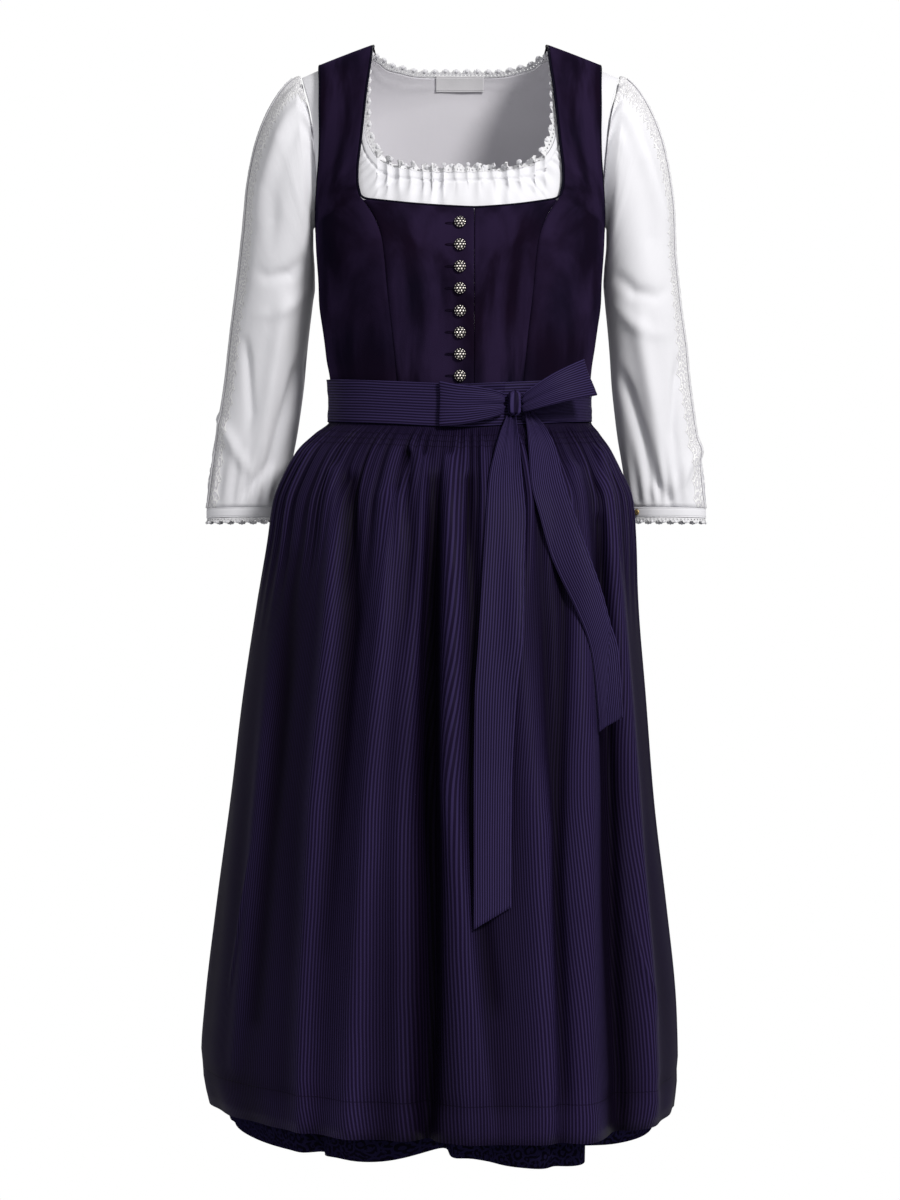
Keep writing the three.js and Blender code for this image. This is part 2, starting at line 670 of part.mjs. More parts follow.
// One row for each ring below the armhole: the outer and inner side of the sleeve, how far behind
// the shoulder line its middle lies, and half its depth from front to back.
const sleeveColumns = ['ring', 'outerX', 'outerZ', 'innerX', 'innerZ', 'middleY', 'halfDepth'];
const sleeveAt = table(sleeveColumns, [
  [0, 175, -28, 157, -191, 5, 46],
  [0.4, 181, -31, 162.5, -197, 7, 49],
  [1, 192, -39, 162.5, -214, 9, 51],
  [2, 210, -64, 162, -227, 14, 54],
  [3, 226, -104, 161.5, -238, 19, 54],
  [4, 236, -153, 161.5, -252, 25, 53],
  [5, 241.5, -198, 164, -275, 30, 50],
  [6, 246, -237, 168, -305, 35, 47],
  [7, 251, -276, 171.5, -335, 40, 44],
  [8, 256, -314, 174.5, -365, 45, 41],
  [9, 262, -363, 179, -397, 50, 38],
  [10, 269, -405, 184, -427, 54, 35],
  [11, 276.5, -448, 192, -465, 58, 32],
  [12, 283.5, -502, 198.5, -501, 61, 30],
]);
const LAST_RING = 12;
// The wearer's left sleeve hangs a little closer in towards the cuff.
const LEFT_SLEEVE_IN = 8;
const SLEEVE_COLUMNS = 16;
const SLEEVE_ROWS = 12;
const RING_CROWDING = 1.3;
const ARMHOLE_CLEAR = { along: 1.5, outward: 1.8 };

// A ring of the sleeve. u = 0 is the outer side, 0.25 the front, 0.5 the inner side, 0.75 the back.
function sleeveRing(side, ring, u) {
  const row = sleeveAt(ring);
  const closer = side > 0 ? LEFT_SLEEVE_IN * (ring / LAST_RING) ** 1.5 : 0;
  const turn = u * 2 * Math.PI;
  const outer = (1 + Math.cos(turn)) / 2;
  return new THREE.Vector3(
    side * (mix(row.innerX, row.outerX, outer) - closer),
    row.middleY - row.halfDepth * Math.sin(turn),
    mix(row.innerZ, row.outerZ, outer),
  );
}

const armholeFirst = 3 * BLOUSE_PARTS;
// The blouse's armhole edge. u runs as in sleeveRing.
function armholePoint(side, u) {
  const turn = u - Math.floor(u);
  const onBack = turn > 0.5;
  const fromTip = onBack ? (1 - turn) * 2 : turn * 2;
  const halfRows = blouseGrid.rows / 2;
  const station = halfRows - fromTip * (halfRows - armholeFirst);
  const v = side > 0 ? (halfRows + station) / blouseGrid.rows : (halfRows - station) / blouseGrid.rows;
  const panel = onBack ? blouseBack : blouseFront;
  const normal = normalOf(panel, awayFromAxis, false)(1, v);
  const middle = mix(BLOUSE_WALL.near, BLOUSE_WALL.far, 0.5);
  const rim = panel(1, v);
  const leaving = rim.clone().sub(panel(1 - rimStep, v)).normalize();
  const point = rim.addScaledVector(normal, middle).addScaledVector(leaving, ARMHOLE_CLEAR.along);
  point.x += side * ARMHOLE_CLEAR.outward;
  return point;
}

function sleeveSurface(side) {
  return (u, v) => {
    const ring = LAST_RING * v ** RING_CROWDING;
    const point = sleeveRing(side, ring, u);
    const settled = smoothStep(0, 0.42, ring);
    return armholePoint(side, u).lerp(point, settled);
  };
}

const sleeveHint = (side) => (point) => new THREE.Vector3(point.x - side * 215, point.y - 30, 0);

for (const side of [-1, 1]) {
  const name = side > 0 ? 'left' : 'right';
  const surface = sleeveSurface(side);
  add(`sleeve_${name}`, clothWall(surface, SLEEVE_WALL, SLEEVE_COLUMNS, SLEEVE_ROWS,
    { closed: true, hint: sleeveHint(side) }), 'blouse');
}

// ---------------------------------------------------------------- drape of the skirt and apron

// The outer surface of the skirt, section by section: half its width on the wearer's right and
// left, how far it stands out in front on each side and at the back, and how square it is.
const drapeAt = table(['level', 'right', 'left', 'frontRight', 'frontLeft', 'back', 'squareness'], [
  [-363, 143, 143, 98.6, 98.6, 90, 0.87],
  [-385, 141, 141, 97.8, 97.8, 88.8, 0.87],
  [-409, 141.8, 141.8, 98.5, 98.5, 89.8, 0.87],
  [-425, 157, 149, 112, 112, 110, 0.87],
  [-440, 171, 158, 121, 122, 125, 0.88],
  [-467, 187, 172, 139, 141, 142, 0.89],
  [-495, 199, 184, 153, 156, 155, 0.9],
  [-539, 207, 189, 166, 170, 168, 0.91],
  [-605, 220, 193, 178, 187, 181, 0.92],
  [-715, 237, 204, 191, 214, 202, 0.93],
  [-825, 250, 215, 204, 236, 220, 0.94],
  [-935, 264, 227, 216, 256, 236, 0.95],
  [-1045, 277, 236, 227, 274, 249, 0.95],
  [-1100, 281, 237, 232, 283, 253, 0.95],
  [-1135, 276, 235, 234, 288, 255, 0.95],
  [-1174, 263, 229, 234, 290, 255, 0.95],
]);

// Ridges that run down the front under the shirring, through the apron and the skirt. Each row
// gives where a ridge lies at five levels, and its width and rise at the hem. A dip has a
// negative rise.
const ridgeLevels = [-470, -605, -810, -1012, -1147];
const drapeRidges = [
  { at: [-134, -134, -146, -157, -160], width: 17, rise: 8 },
  { at: [-71, -78, -91, -103, -111], width: 24, rise: 10 },
  { at: [-44, -56, -60, -59, -55], width: 13, rise: 6 },
  { at: [-24, -30, -32, -34, -38], width: 16, rise: -20 },
  { at: [-13, -9, -10, 2, 12], width: 16, rise: 8 },
  { at: [46, 56, 72, 79, 84], width: 18, rise: 9 },
  { at: [84, 86, 92, 96, 98], width: 9, rise: -6 },
  { at: [108, 116, 118, 116, 122], width: 21, rise: 12 },
  { at: [139, 146, 152, 160, 166], width: 14, rise: -12 },
  { at: [152, 160, 172, 186, 192], width: 13, rise: 9 },
];

// Deep folds of the skirt that the apron bridges, growing from a level down to the hem.
const skirtFolds = [
  { x: -158, width: 9, depth: 20, from: -900 },
  { x: -52, width: 23, depth: 72, from: -700 },
  { x: 6, width: 34, depth: 44, from: -760 },
  { x: 178, width: 30, depth: 52, from: -640 },
];

// Organ-pipe folds round the back, drawn in at the waist.
const BACK_FOLDS = { perPanel: 6, waistDepth: 3, hemDepth: 27, columnsEach: 4 };

function basePoint(angle, level) {
  const turn = angle * DEGREES;
  const [across, ahead] = [Math.sin(turn), Math.cos(turn)];
  const row = drapeAt(level);
  const half = across < 0 ? row.right : row.left;
  const front = mix(row.frontRight, row.frontLeft, smoothStep(-1, 1, across));
  const fall = (level - WAIST_SEAM) / (SKIRT_HEM - WAIST_SEAM);
  return new THREE.Vector3(
    half * signedPower(across, row.squareness),
    -(ahead > 0 ? front : row.back) * signedPower(ahead, row.squareness),
    level + frontDrop(angle) * (1 - Math.max(0, fall)),
  );
}

// The level direction square to the drape's section.
function sectionNormal(angle, level) {
  const step = 0.4;
  const along = basePoint(angle + step, level).sub(basePoint(angle - step, level));
  return new THREE.Vector3(along.y, -along.x, 0).normalize();
}

const SKIRT_SIDE = 100;
const inFront = (angle) => smoothStep(-100, -80, angle) * (1 - smoothStep(80, 100, angle));

function ridgeRise(angle, level) {
  const { x } = basePoint(angle, level);
  const fall = Math.max(0, (level - WAIST_SEAM) / (SKIRT_HEM - WAIST_SEAM));
  const growth = smoothStep(0.03, 0.5, fall) ** 0.7;
  const sum = drapeRidges.reduce((total, { at, width, rise }) => {
    const centre = smoothThrough(ridgeLevels, at, level);
    return total + rise * bell(x - centre, width * (0.6 + 0.4 * fall));
  }, 0);
  return sum * growth * inFront(angle);
}

function skirtFoldDepth(angle, level) {
  const { x } = basePoint(angle, level);
  const front = skirtFolds.reduce((total, { x: at, width, depth, from }) => (
    total + depth * bell(x - at, width) * smoothStep(from, SKIRT_HEM + 60, level)), 0);
  const fall = Math.max(0, (level - WAIST_SEAM) / (SKIRT_HEM - WAIST_SEAM));
  const depth = mix(BACK_FOLDS.waistDepth, BACK_FOLDS.hemDepth, fall) * smoothStep(0, 0.06, fall);
  const around = (((angle + 360) % 360) - SKIRT_SIDE) / (180 - SKIRT_SIDE);
  const wave = 0.5 - 0.5 * Math.cos(around * 2 * Math.PI * BACK_FOLDS.perPanel);
  const unevenness = 0.78 + 0.22 * Math.sin(around * 9.1 + 1.3 * Math.sin(around * 4.7));
  return front * inFront(angle) + depth * wave * unevenness * (1 - inFront(angle));
}

function drapePoint(angle, level, outwards) {
  return basePoint(angle, level).addScaledVector(sectionNormal(angle, level), outwards);
}

const APRON_STANDS_OFF = 10;
const drapeLevels = [-425, -445, -480, -539, -640, -800, -980];
const skirtLevels = [WAIST_SEAM, BAND.bottom, ...drapeLevels, SKIRT_HEM];
const levelAlong = (levels) => (v) => {
  const position = Math.min(1, Math.max(0, v)) * (levels.length - 1);
  const i = Math.min(levels.length - 2, Math.floor(position));
  return mix(levels[i], levels[i + 1], position - i);
};

function skirtPanel(fromAngle, toAngle) {
  const level = levelAlong(skirtLevels);
  return (u, v) => {
    const angle = mix(fromAngle, toAngle, u);
    const height = level(v);
    const inside = APRON_STANDS_OFF * smoothStep(BAND.bottom - 30, APRON_HEM, height) ** 0.5 * inFront(angle);
    return drapePoint(angle, height, ridgeRise(angle, height) - skirtFoldDepth(angle, height) - inside);
  };
}

const SEAM_TURN = 0.12;
const BACK_COLUMNS = BACK_FOLDS.perPanel * BACK_FOLDS.columnsEach;
const skirtPieces = {
  skirt_front: { from: -SKIRT_SIDE + SEAM_TURN, to: SKIRT_SIDE - SEAM_TURN, columns: 32 },
  skirt_back_left: { from: SKIRT_SIDE + SEAM_TURN, to: 180 - SEAM_TURN, columns: BACK_COLUMNS },
  skirt_back_right: { from: 180 + SEAM_TURN, to: 360 - SKIRT_SIDE - SEAM_TURN, columns: BACK_COLUMNS },
};
for (const [name, { from, to, columns }] of Object.entries(skirtPieces)) {
  add(name, clothWall(skirtPanel(from, to), SKIRT_WALL, columns, skirtLevels.length - 1), 'brocade');
}

// ---------------------------------------------------------------- apron

const APRON = { rightEdge: -97, gathers: 26, gatherRise: 3.6, gatherEnd: 0.3 };
const apronLeftEdge = table(['level', 'angle'], [[-409, 84], [-600, 80], [-825, 73], [-1147, 77]]);
const APRON_SEAM_GAP = 0.8;
const apronLevels = [BAND.bottom - APRON_SEAM_GAP, ...drapeLevels, APRON_HEM];

// The gathers spread below the shirring, each a little unlike the next, and fade down the apron.
function gatherRise(u, level) {
  const fall = (level - BAND.bottom) / (APRON_HEM - BAND.bottom);
  const unevenness = 0.7 + 0.3 * Math.sin(u * 37 + 2 * Math.sin(u * 11));
  const wave = 0.5 + 0.5 * Math.cos(2 * Math.PI * APRON.gathers * u);
  const strength = smoothStep(0, 0.03, fall) * (1 - smoothStep(0.04, APRON.gatherEnd, fall));
  return APRON.gatherRise * unevenness * wave * strength;
}

function apronPoint(u, level) {
  const angle = mix(APRON.rightEdge, apronLeftEdge(level).angle, u);
  return drapePoint(angle, level, ridgeRise(angle, level) + gatherRise(u, level));
}

const apronLevel = levelAlong(apronLevels);
const apronSurface = (u, v) => apronPoint(u, apronLevel(v));
const apronGrid = { columns: APRON.gathers * 3, rows: apronLevels.length - 1 };
add('apron_panel', clothWall(apronSurface, APRON_WALL, apronGrid.columns, apronGrid.rows), 'apron');

// ---------------------------------------------------------------- cuffs, sleeve lace and cuff buttons

const sleeveRow = (j) => j / SLEEVE_ROWS;
const SLEEVE_LACE = { from: 0.15, to: 0.8, near: 1.1, far: 2.1, firstRow: 1 };
const CUFF_BUTTON = { u: 0.397, radius: 3.6, height: 2.6, lift: 0.9 };

for (const side of [-1, 1]) {
  const name = side > 0 ? 'left' : 'right';
  const hint = sleeveHint(side);
  const cuffSurface = (u, v) => {
    const point = sleeveRing(side, LAST_RING, u);
    point.z -= SEAM_GAP + v * CUFF.height;
    return point;
  };
  add(`cuff_${name}`, clothWall(cuffSurface, CUFF, SLEEVE_COLUMNS, 1, { closed: true, hint }), 'blouse');

  const stations = steps(0, 1, SLEEVE_COLUMNS).slice(0, -1);
  const rim = rimOf(cuffSurface, CUFF, stations, (t) => [t, 1], (t) => [t, 1 - rimStep], hint, true);
  const round = lengthRound(rim);
  add(`cuff_lace_${name}`, edging(alongRim(rim, true), {
    ...CUFF_LACE, count: Math.round(round / CUFF_LACE.pitch), closed: true,
  }), 'lace');

  const surface = sleeveSurface(side);
  const normal = normalOf(surface, hint, true);
  const raised = (u, row, distance) => surface(u, sleeveRow(row))
    .addScaledVector(normal(u, sleeveRow(row)), distance);
  const laceRows = SLEEVE_ROWS - SLEEVE_LACE.firstRow;
  const laceLayer = (distance) => (u, v) => {
    const row = SLEEVE_LACE.firstRow + v * laceRows;
    const across = mix(SLEEVE_LACE.from, SLEEVE_LACE.to, u);
    return raised(0, row, distance).lerp(raised(1 / SLEEVE_COLUMNS, row, distance), across);
  };
  const strip = gridWall(laceLayer(SLEEVE_LACE.near), laceLayer(SLEEVE_LACE.far), 1, laceRows, false);
  add(`sleeve_lace_${name}`, strip, 'lace');

  const facing = normalOf(cuffSurface, hint, true)(CUFF_BUTTON.u, 0.5);
  const seat = cuffSurface(CUFF_BUTTON.u, 0.5).addScaledVector(facing, CUFF.far + CUFF_BUTTON.lift);
  addButton(`cuff_button_${name}`, domedButton(seat, facing, CUFF_BUTTON.radius, CUFF_BUTTON.height), 'gold');
}

// ---------------------------------------------------------------- waistband and ties

const BAND_STEP = 8;
const bandTop = () => BAND.top;
const bandBottom = () => BAND.bottom;

// A strip round the waist through a list of angles. layerAt and topAt give, at each angle, how far
// up the layers it lies and the level of its top edge.
function waistStrip(angles, rows, layerAt, topAt = bandTop, bottomAt = bandBottom) {
  const angleAt = levelAlong(angles);
  const layer = (key) => (u, v) => {
    const angle = angleAt(u);
    const distance = mix(BAND_LAYERS[0][key], BAND_LAYERS[1][key], layerAt(angle));
    return drapePoint(angle, mix(topAt(angle), bottomAt(angle), v), distance);
  };
  return gridWall(layer('near'), layer('far'), angles.length - 1, rows, false);
}

const everyStep = (from, to) => steps(from, to, Math.abs(to - from) / BAND_STEP);
const KNOT_ANGLES = [16, 24];
const waistbandAngles = everyStep(-96, 72);
const tieRightAngles = [-96.3, ...everyStep(-104, KNOT_ANGLES[1] - 360)];
const tieLeftAngles = everyStep(96, KNOT_ANGLES[0] + 360);
const tieRightFront = (angle) => smoothStep(-264, -280, angle);
const tieRightPinch = (angle) => smoothStep(-250, -285, angle);
add('apron_waistband', waistStrip(waistbandAngles, 2, () => 0), 'apron');
add('apron_tie_right', waistStrip(
  tieRightAngles,
  1,
  tieRightFront,
  (angle) => BAND.top - 20 * tieRightPinch(angle) - 6 * smoothStep(-300, -336, angle),
  (angle) => BAND.bottom + 4 * smoothStep(-300, -336, angle),
), 'apron');
add('apron_tie_left', waistStrip(tieLeftAngles, 1, () => 1), 'apron');

// ---------------------------------------------------------------- bow

const RIBBON_WALL = { near: -0.5, far: 0.5 };
const LOOP_GRID = { columns: 16, rows: 2 };
const TAIL_GRID = { columns: 2, rows: 13 };
const KNOT_SHAPE = { around: 12, down: 8, boxiness: 0.45, wraps: 5, wrapDepth: 0.05 };
const KNOT = { angle: 20, level: -386, standOff: 9.4, size: [7, 6.8, 13] };

function knotGeometry() {
  const { around, down, boxiness, wraps, wrapDepth } = KNOT_SHAPE;
  const geometry = new THREE.SphereGeometry(1, around, down);
  const position = geometry.getAttribute('position');
  for (let i = 0; i < position.count; i += 1) {
    const point = new THREE.Vector3().fromBufferAttribute(position, i);
    const boxy = Math.max(Math.abs(point.x), Math.abs(point.y), Math.abs(point.z)) ** -boxiness;
    const wrap = 1 + wrapDepth * Math.cos(wraps * Math.atan2(point.y, point.x) + 2 * point.z);
    position.setXYZ(i, point.x * boxy * wrap, point.y * boxy * wrap, point.z * boxy);
  }
  return geometry.scale(...KNOT.size);
}
const knot = add('bow_knot', knotGeometry(), 'apron');
const knotNormal = sectionNormal(KNOT.angle, KNOT.level);
knot.position.copy(drapePoint(KNOT.angle, KNOT.level, KNOT.standOff));
knot.rotation.z = Math.atan2(knotNormal.x, -knotNormal.y);

// A ribbon loop that leaves the knot, folds at its tip and comes back. middle(s), out(s) and up(s)
// give its middle line, the way it puffs and the way its width runs, from the knot to the tip.
function ribbonLoop({ middle, out, up, halfAtKnot, halfAtTip, puff, parting }) {
  return (u, v) => {
    const s = (1 - Math.cos(2 * Math.PI * u)) / 2;
    const half = mix(halfAtKnot, halfAtTip, s ** 0.7);
    const away = -puff * Math.sin(2 * Math.PI * u) + parting * (2 * u - 1);
    return middle(s).addScaledVector(out(s), away).addScaledVector(up(s), half * (2 * v - 1));
  };
}

const upright = () => new THREE.Vector3(0, 0, 1);
const facingAt = (angle) => sectionNormal(angle, BAND.bottom);
const loopRightAngle = (s) => mix(15.4, -6.5, s);
const loops = {
  // The wearer's right loop lies flat on the tie.
  bow_loop_right: {
    middle: (s) => drapePoint(loopRightAngle(s), KNOT.level + mix(0, 1, s), 9.6),
    out: (s) => facingAt(loopRightAngle(s)),
    up: upright,
    halfAtKnot: 10,
    halfAtTip: 24,
    puff: 3,
    parting: 1.4,
  },
  // The wearer's left loop stands up and out past the side.
  bow_loop_left: {
    middle: (s) => new THREE.Vector3(mix(65.5, 138, s), mix(-105, -92, s) - 6 * Math.sin(Math.PI * s),
      mix(-397, -368, s) + 2 * Math.sin(Math.PI * s)),
    out: () => new THREE.Vector3(0.2, -0.98, 0).normalize(),
    up: (s) => new THREE.Vector3(-0.36 * s, 0, 1).normalize(),
    halfAtKnot: 8.5,
    halfAtTip: 20.5,
    puff: 6,
    parting: 1.6,
  },
};
for (const [name, loop] of Object.entries(loops)) {
  add(name, clothWall(ribbonLoop(loop), RIBBON_WALL, LOOP_GRID.columns, LOOP_GRID.rows), 'apron');
}

// The angle of the drape under a place at x.
function angleUnder(x, level) {
  const row = drapeAt(level);
  const half = x < 0 ? row.right : row.left;
  return Math.sign(x) * Math.asin(Math.min(1, Math.abs(x) / half) ** (1 / row.squareness)) / DEGREES;
}

// A place standing off the front of the apron.
function overApron(x, level, standOff) {
  const angle = angleUnder(x, level);
  const rise = Math.max(0, ridgeRise(angle, level));
  return drapePoint(angle, level, rise + standOff);
}

// The hanging ends. Each row gives a level, the x of both edges and how far each stands off.
const tailColumns = ['level', 'rightX', 'leftX', 'rightOff', 'leftOff'];
const tails = {
  bow_tail_right: {
    rows: [
      [-399.6, 47.5, 57, 6.5, 7], [-414, 42, 58, 8.5, 9], [-435, 36, 60, 8, 8.5], [-468, 29, 62.5, 7.5, 8],
      [-511, 25.5, 65.5, 7.5, 8], [-553, 23, 63.5, 8, 8.5], [-636, 18, 60, 9, 9], [-697, 14.5, 55, 9, 9],
      [-799, 13.5, 51, 8, 8], [-880, 13.5, 50, 8, 8],
    ],
    slant: [[-399.6, 0], [-700, 0], [-880, 22]],
    drop: 52,
  },
  bow_tail_left: {
    rows: [
      [-392, 66, 71.5, 5.4, 5.6], [-402, 67, 78, 6.4, 6.8], [-414, 68, 86, 8, 8.5], [-440, 69.5, 97, 8, 9],
      [-471, 71, 102, 8, 12], [-511, 80, 110, 8, 16], [-553, 91, 119, 8, 21], [-607, 110, 131, 9, 28],
      [-660, 126, 140, 10, 34], [-727, 134, 142, 11, 36],
    ],
    slant: [[-392, 0], [-600, 0], [-727, 16]],
    drop: 10,
  },
};

function tailSurface({ rows, slant, drop }) {
  const at = table(tailColumns, rows);
  const slantAt = table(['level', 'by'], slant);
  const [top, bottom] = [rows[0][0], rows[rows.length - 1][0] - drop];
  const last = rows[rows.length - 1][0];
  return (u, v) => {
    const level = mix(top, bottom, v ** 1.15);
    const row = at(Math.max(last, level));
    const lifted = level + slantAt(level).by * u;
    return overApron(mix(row.rightX, row.leftX, u), lifted, mix(row.rightOff, row.leftOff, u));
  };
}
for (const [name, tail] of Object.entries(tails)) {
  add(name, clothWall(tailSurface(tail), RIBBON_WALL, TAIL_GRID.columns, TAIL_GRID.rows), 'apron');
}

export default dirndl;
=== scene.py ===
"""The cloth, lace and buttons of a dirndl with its apron and blouse.

Shapes are worked out in millimetres, +Z up, -Y out of the front, +X to the wearer's left, and turned to
metres when their mesh is made. Right and left in names are the wearer's. A cloth piece is a function of u
and v, both 0 to 1, carried by a grid and given two faces a wall apart. Its map holds the cloth's own lie in
metres: U across the ribs or threads and V along them.
"""

import bmesh
import bpy
import numpy as np
from mathutils import Matrix


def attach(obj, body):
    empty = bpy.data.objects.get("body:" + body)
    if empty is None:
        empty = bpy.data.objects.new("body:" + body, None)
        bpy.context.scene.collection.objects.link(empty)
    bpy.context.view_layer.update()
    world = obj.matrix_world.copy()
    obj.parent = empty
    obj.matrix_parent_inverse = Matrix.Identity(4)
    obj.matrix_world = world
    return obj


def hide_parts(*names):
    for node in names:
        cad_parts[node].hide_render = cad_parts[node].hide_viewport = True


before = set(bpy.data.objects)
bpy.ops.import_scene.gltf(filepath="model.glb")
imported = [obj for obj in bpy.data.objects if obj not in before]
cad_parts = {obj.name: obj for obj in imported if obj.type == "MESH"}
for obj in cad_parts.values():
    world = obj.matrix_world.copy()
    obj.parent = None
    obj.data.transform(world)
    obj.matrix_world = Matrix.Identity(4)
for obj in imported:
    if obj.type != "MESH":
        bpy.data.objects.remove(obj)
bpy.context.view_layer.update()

# ---------------------------------------------------------------- sums and curves


def mix(a, b, t):
    return a + (b - a) * t


def smooth_step(start, end, value):
    t = np.clip((value - start) / (end - start), 0, 1)
    return t * t * (3 - 2 * t)


def bell(distance, width):
    return np.exp(-((distance / width) ** 2))


def signed_power(value, power):
    return np.sign(value) * np.abs(value) ** power


def unit(vectors):
    return vectors / np.maximum(np.linalg.norm(vectors, axis=-1, keepdims=True), 1e-9)


def points(x, y, z):
    return np.stack(np.broadcast_arrays(x, y, z), -1).astype(float)


def sphere(turn, steep):
    """A point of the unit sphere from its turn round Z and its angle down from the top."""
    return points(np.sin(steep) * np.cos(turn), np.sin(steep) * np.sin(turn), np.cos(steep))


def smooth_through(keys, values, key):
    """A curve through (key, value) pairs: cubic spans that meet at the harmonic mean of the slopes there."""
    keys, values = np.asarray(keys, float), np.asarray(values, float)
    if keys[-1] < keys[0]:
        keys, values = keys[::-1], values[::-1]
    slopes = np.diff(values) / np.diff(keys)
    product, total = slopes[:-1] * slopes[1:], slopes[:-1] + slopes[1:]
    inner = np.where(product > 0, 2 * product / np.where(product > 0, total, 1), 0)
    tangents = np.concatenate([slopes[:1], inner, slopes[-1:]])
    key = np.clip(key, keys[0], keys[-1])
    i = np.clip(np.searchsorted(keys, key, side="right") - 1, 0, len(keys) - 2)
    span = keys[i + 1] - keys[i]
    t = (key - keys[i]) / span
    bend = t * t * (3 - 2 * t)
    leaving, arriving = tangents[i] * t * (1 - t) ** 2, tangents[i + 1] * t * t * (1 - t)
    return values[i] * (1 - bend) + values[i + 1] * bend + span * (leaving - arriving)


def table(rows):
    """A table whose first column is the key. The function it gives returns the other columns at any key."""
    rows = np.array(rows, float)
    return lambda key: [smooth_through(rows[:, 0], column, key) for column in rows.T[1:]]


def along_levels(levels, v):
    """The level at v when the list's steps take equal shares of v."""
    return np.interp(np.clip(v, 0, 1) * (len(levels) - 1), np.arange(len(levels)), levels)


def fold(x, z, line, width, rise):
    """A soft fold along a line of (x, z, strength): a bell across its nearest point, times its strength."""
    nearest, strength = np.full(np.shape(x), np.inf), np.zeros(np.shape(x))
    for (x0, z0, s0), (x1, z1, s1) in zip(line, line[1:]):
        dx, dz = x1 - x0, z1 - z0
        t = np.clip(((x - x0) * dx + (z - z0) * dz) / (dx * dx + dz * dz), 0, 1)
        distance = np.hypot(x - x0 - t * dx, z - z0 - t * dz)
        strength = np.where(distance < nearest, mix(s0, s1, t), strength)
        nearest = np.minimum(distance, nearest)
    return rise * strength * bell(nearest, width)


# ---------------------------------------------------------------- meshes


def from_axis(place):
    return place * [1, 1, 0]


def to_front(place):
    return place * 0 + [0, -1, 0]


def to_back(place):
    return place * 0 + [0, 1, 0]


def facing(surface, u, v, outward=from_axis, closed=False):
    """Unit normals: the cross product of the two tangents, turned the way that outward(point) points."""
    step = 1e-3
    low, high = (u - step, u + step) if closed else (np.clip(u - step, 0, 1), np.clip(u + step, 0, 1))
    along = surface(high, v) - surface(low, v)
    down = surface(u, np.clip(v + step, 0, 1)) - surface(u, np.clip(v - step, 0, 1))
    normal = unit(np.cross(along, down))
    return normal * np.sign((normal * unit(outward(surface(u, v)))).sum(-1).mean())


def grid(columns, rows):
    v, u = np.meshgrid(np.linspace(0, 1, rows + 1), np.linspace(0, 1, columns + 1), indexing="ij")
    return u, v


def quads_of(index):
    return np.stack([index[:-1, :-1], index[:-1, 1:], index[1:, 1:], index[1:, :-1]], -1).reshape(-1, 4)


def quads_between(row, other):
    return np.stack([row[:-1], row[1:], other[1:], other[:-1]], -1)


def make_object(name, vertices, faces, smooth=None, lie=None, corners=None, marks=None):
    """A mesh object in metres. lie holds each place's lie in the cloth, and marks a number for each vertex."""
    mesh = bpy.data.meshes.new(name)
    faces = [list(face) for face in faces]
    mesh.from_pydata((np.asarray(vertices) / 1000).tolist(), [], faces)
    if lie is not None:
        corners = np.concatenate(faces) if corners is None else corners
        mesh.uv_layers.new(name="lie").data.foreach_set("uv", np.asarray(lie, np.float32)[corners].ravel())
    for key, values in (marks or {}).items():
        mark = mesh.attributes.new(key, "FLOAT", "POINT")
        mark.data.foreach_set("value", np.asarray(values, np.float32).ravel())
    mesh.polygons.foreach_set("use_smooth", np.ones(len(faces), bool) if smooth is None else smooth)
    mesh.update()
    made = bpy.data.objects.new(name, mesh)
    bpy.context.scene.collection.objects.link(made)
    return made


def wall_object(name, near, far, lie, closed=False, marks=None):
    """A closed wall between two grids of points. A closed tube's last column is its first."""
    rows, columns = near.shape[0] - 1, near.shape[1] - 1
    stride = columns if closed else columns + 1
    index = np.arange((rows + 1) * stride).reshape(rows + 1, stride)
    if closed:
        index = np.concatenate([index, index[:, :1]], 1)
    size = (rows + 1) * stride
    inner, outer = index, index + size
    spot = np.arange((rows + 1) * (columns + 1)).reshape(rows + 1, columns + 1)
    faces, corners, smooth = [], [], []

    def add(face, corner, is_smooth):
        faces.append(face)
        corners.append(corner)
        smooth.append(np.full(len(face), is_smooth))

    def add_rim(inner_row, outer_row, spots, turn):
        add(quads_between(inner_row, outer_row)[:, ::turn], quads_between(spots, spots)[:, ::turn], False)

    add(quads_of(outer), quads_of(spot), True)
    add(quads_of(inner)[:, ::-1], quads_of(spot)[:, ::-1], True)
    for edge, turn in ((0, 1), (rows, -1)):
        add_rim(inner[edge], outer[edge], spot[edge], turn)
    if not closed:
        for edge, turn in ((0, -1), (columns, 1)):
            add_rim(inner[:, edge], outer[:, edge], spot[:, edge], turn)
    faces, corners = np.concatenate(faces), np.concatenate(corners)
    vertices = np.concatenate([layer[:, :stride].reshape(-1, 3) for layer in (near, far)])
    a, b, c = (vertices[faces[:, k]] for k in (0, 1, 2))
    if (a * np.cross(b - a, c - a)).sum() < 0:
        faces, corners = faces[:, ::-1], corners[:, ::-1]
    if marks:
        marks = {key: np.tile(values[:, :stride].ravel(), 2) for key, values in marks.items()}
    return make_object(name, vertices, faces, np.concatenate(smooth), lie.reshape(-1, 2) / 1000,
                       corners.ravel(), marks)


def dress(piece, nodes, slot, material):
    """The piece takes its cloth, stands for its solids and rides on the dress."""
    piece.data.materials.append(material)
    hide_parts(*nodes)
    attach(piece, "root")
    return piece


def area_of(place):
    """The area of a grid of points, in square metres."""
    across, down = np.diff(place, axis=1)[:-1], np.diff(place, axis=0)[:, :-1]
    return float(np.linalg.norm(np.cross(across, down), axis=-1).sum() / 1e6)


LEAST_SHARE = 0.31


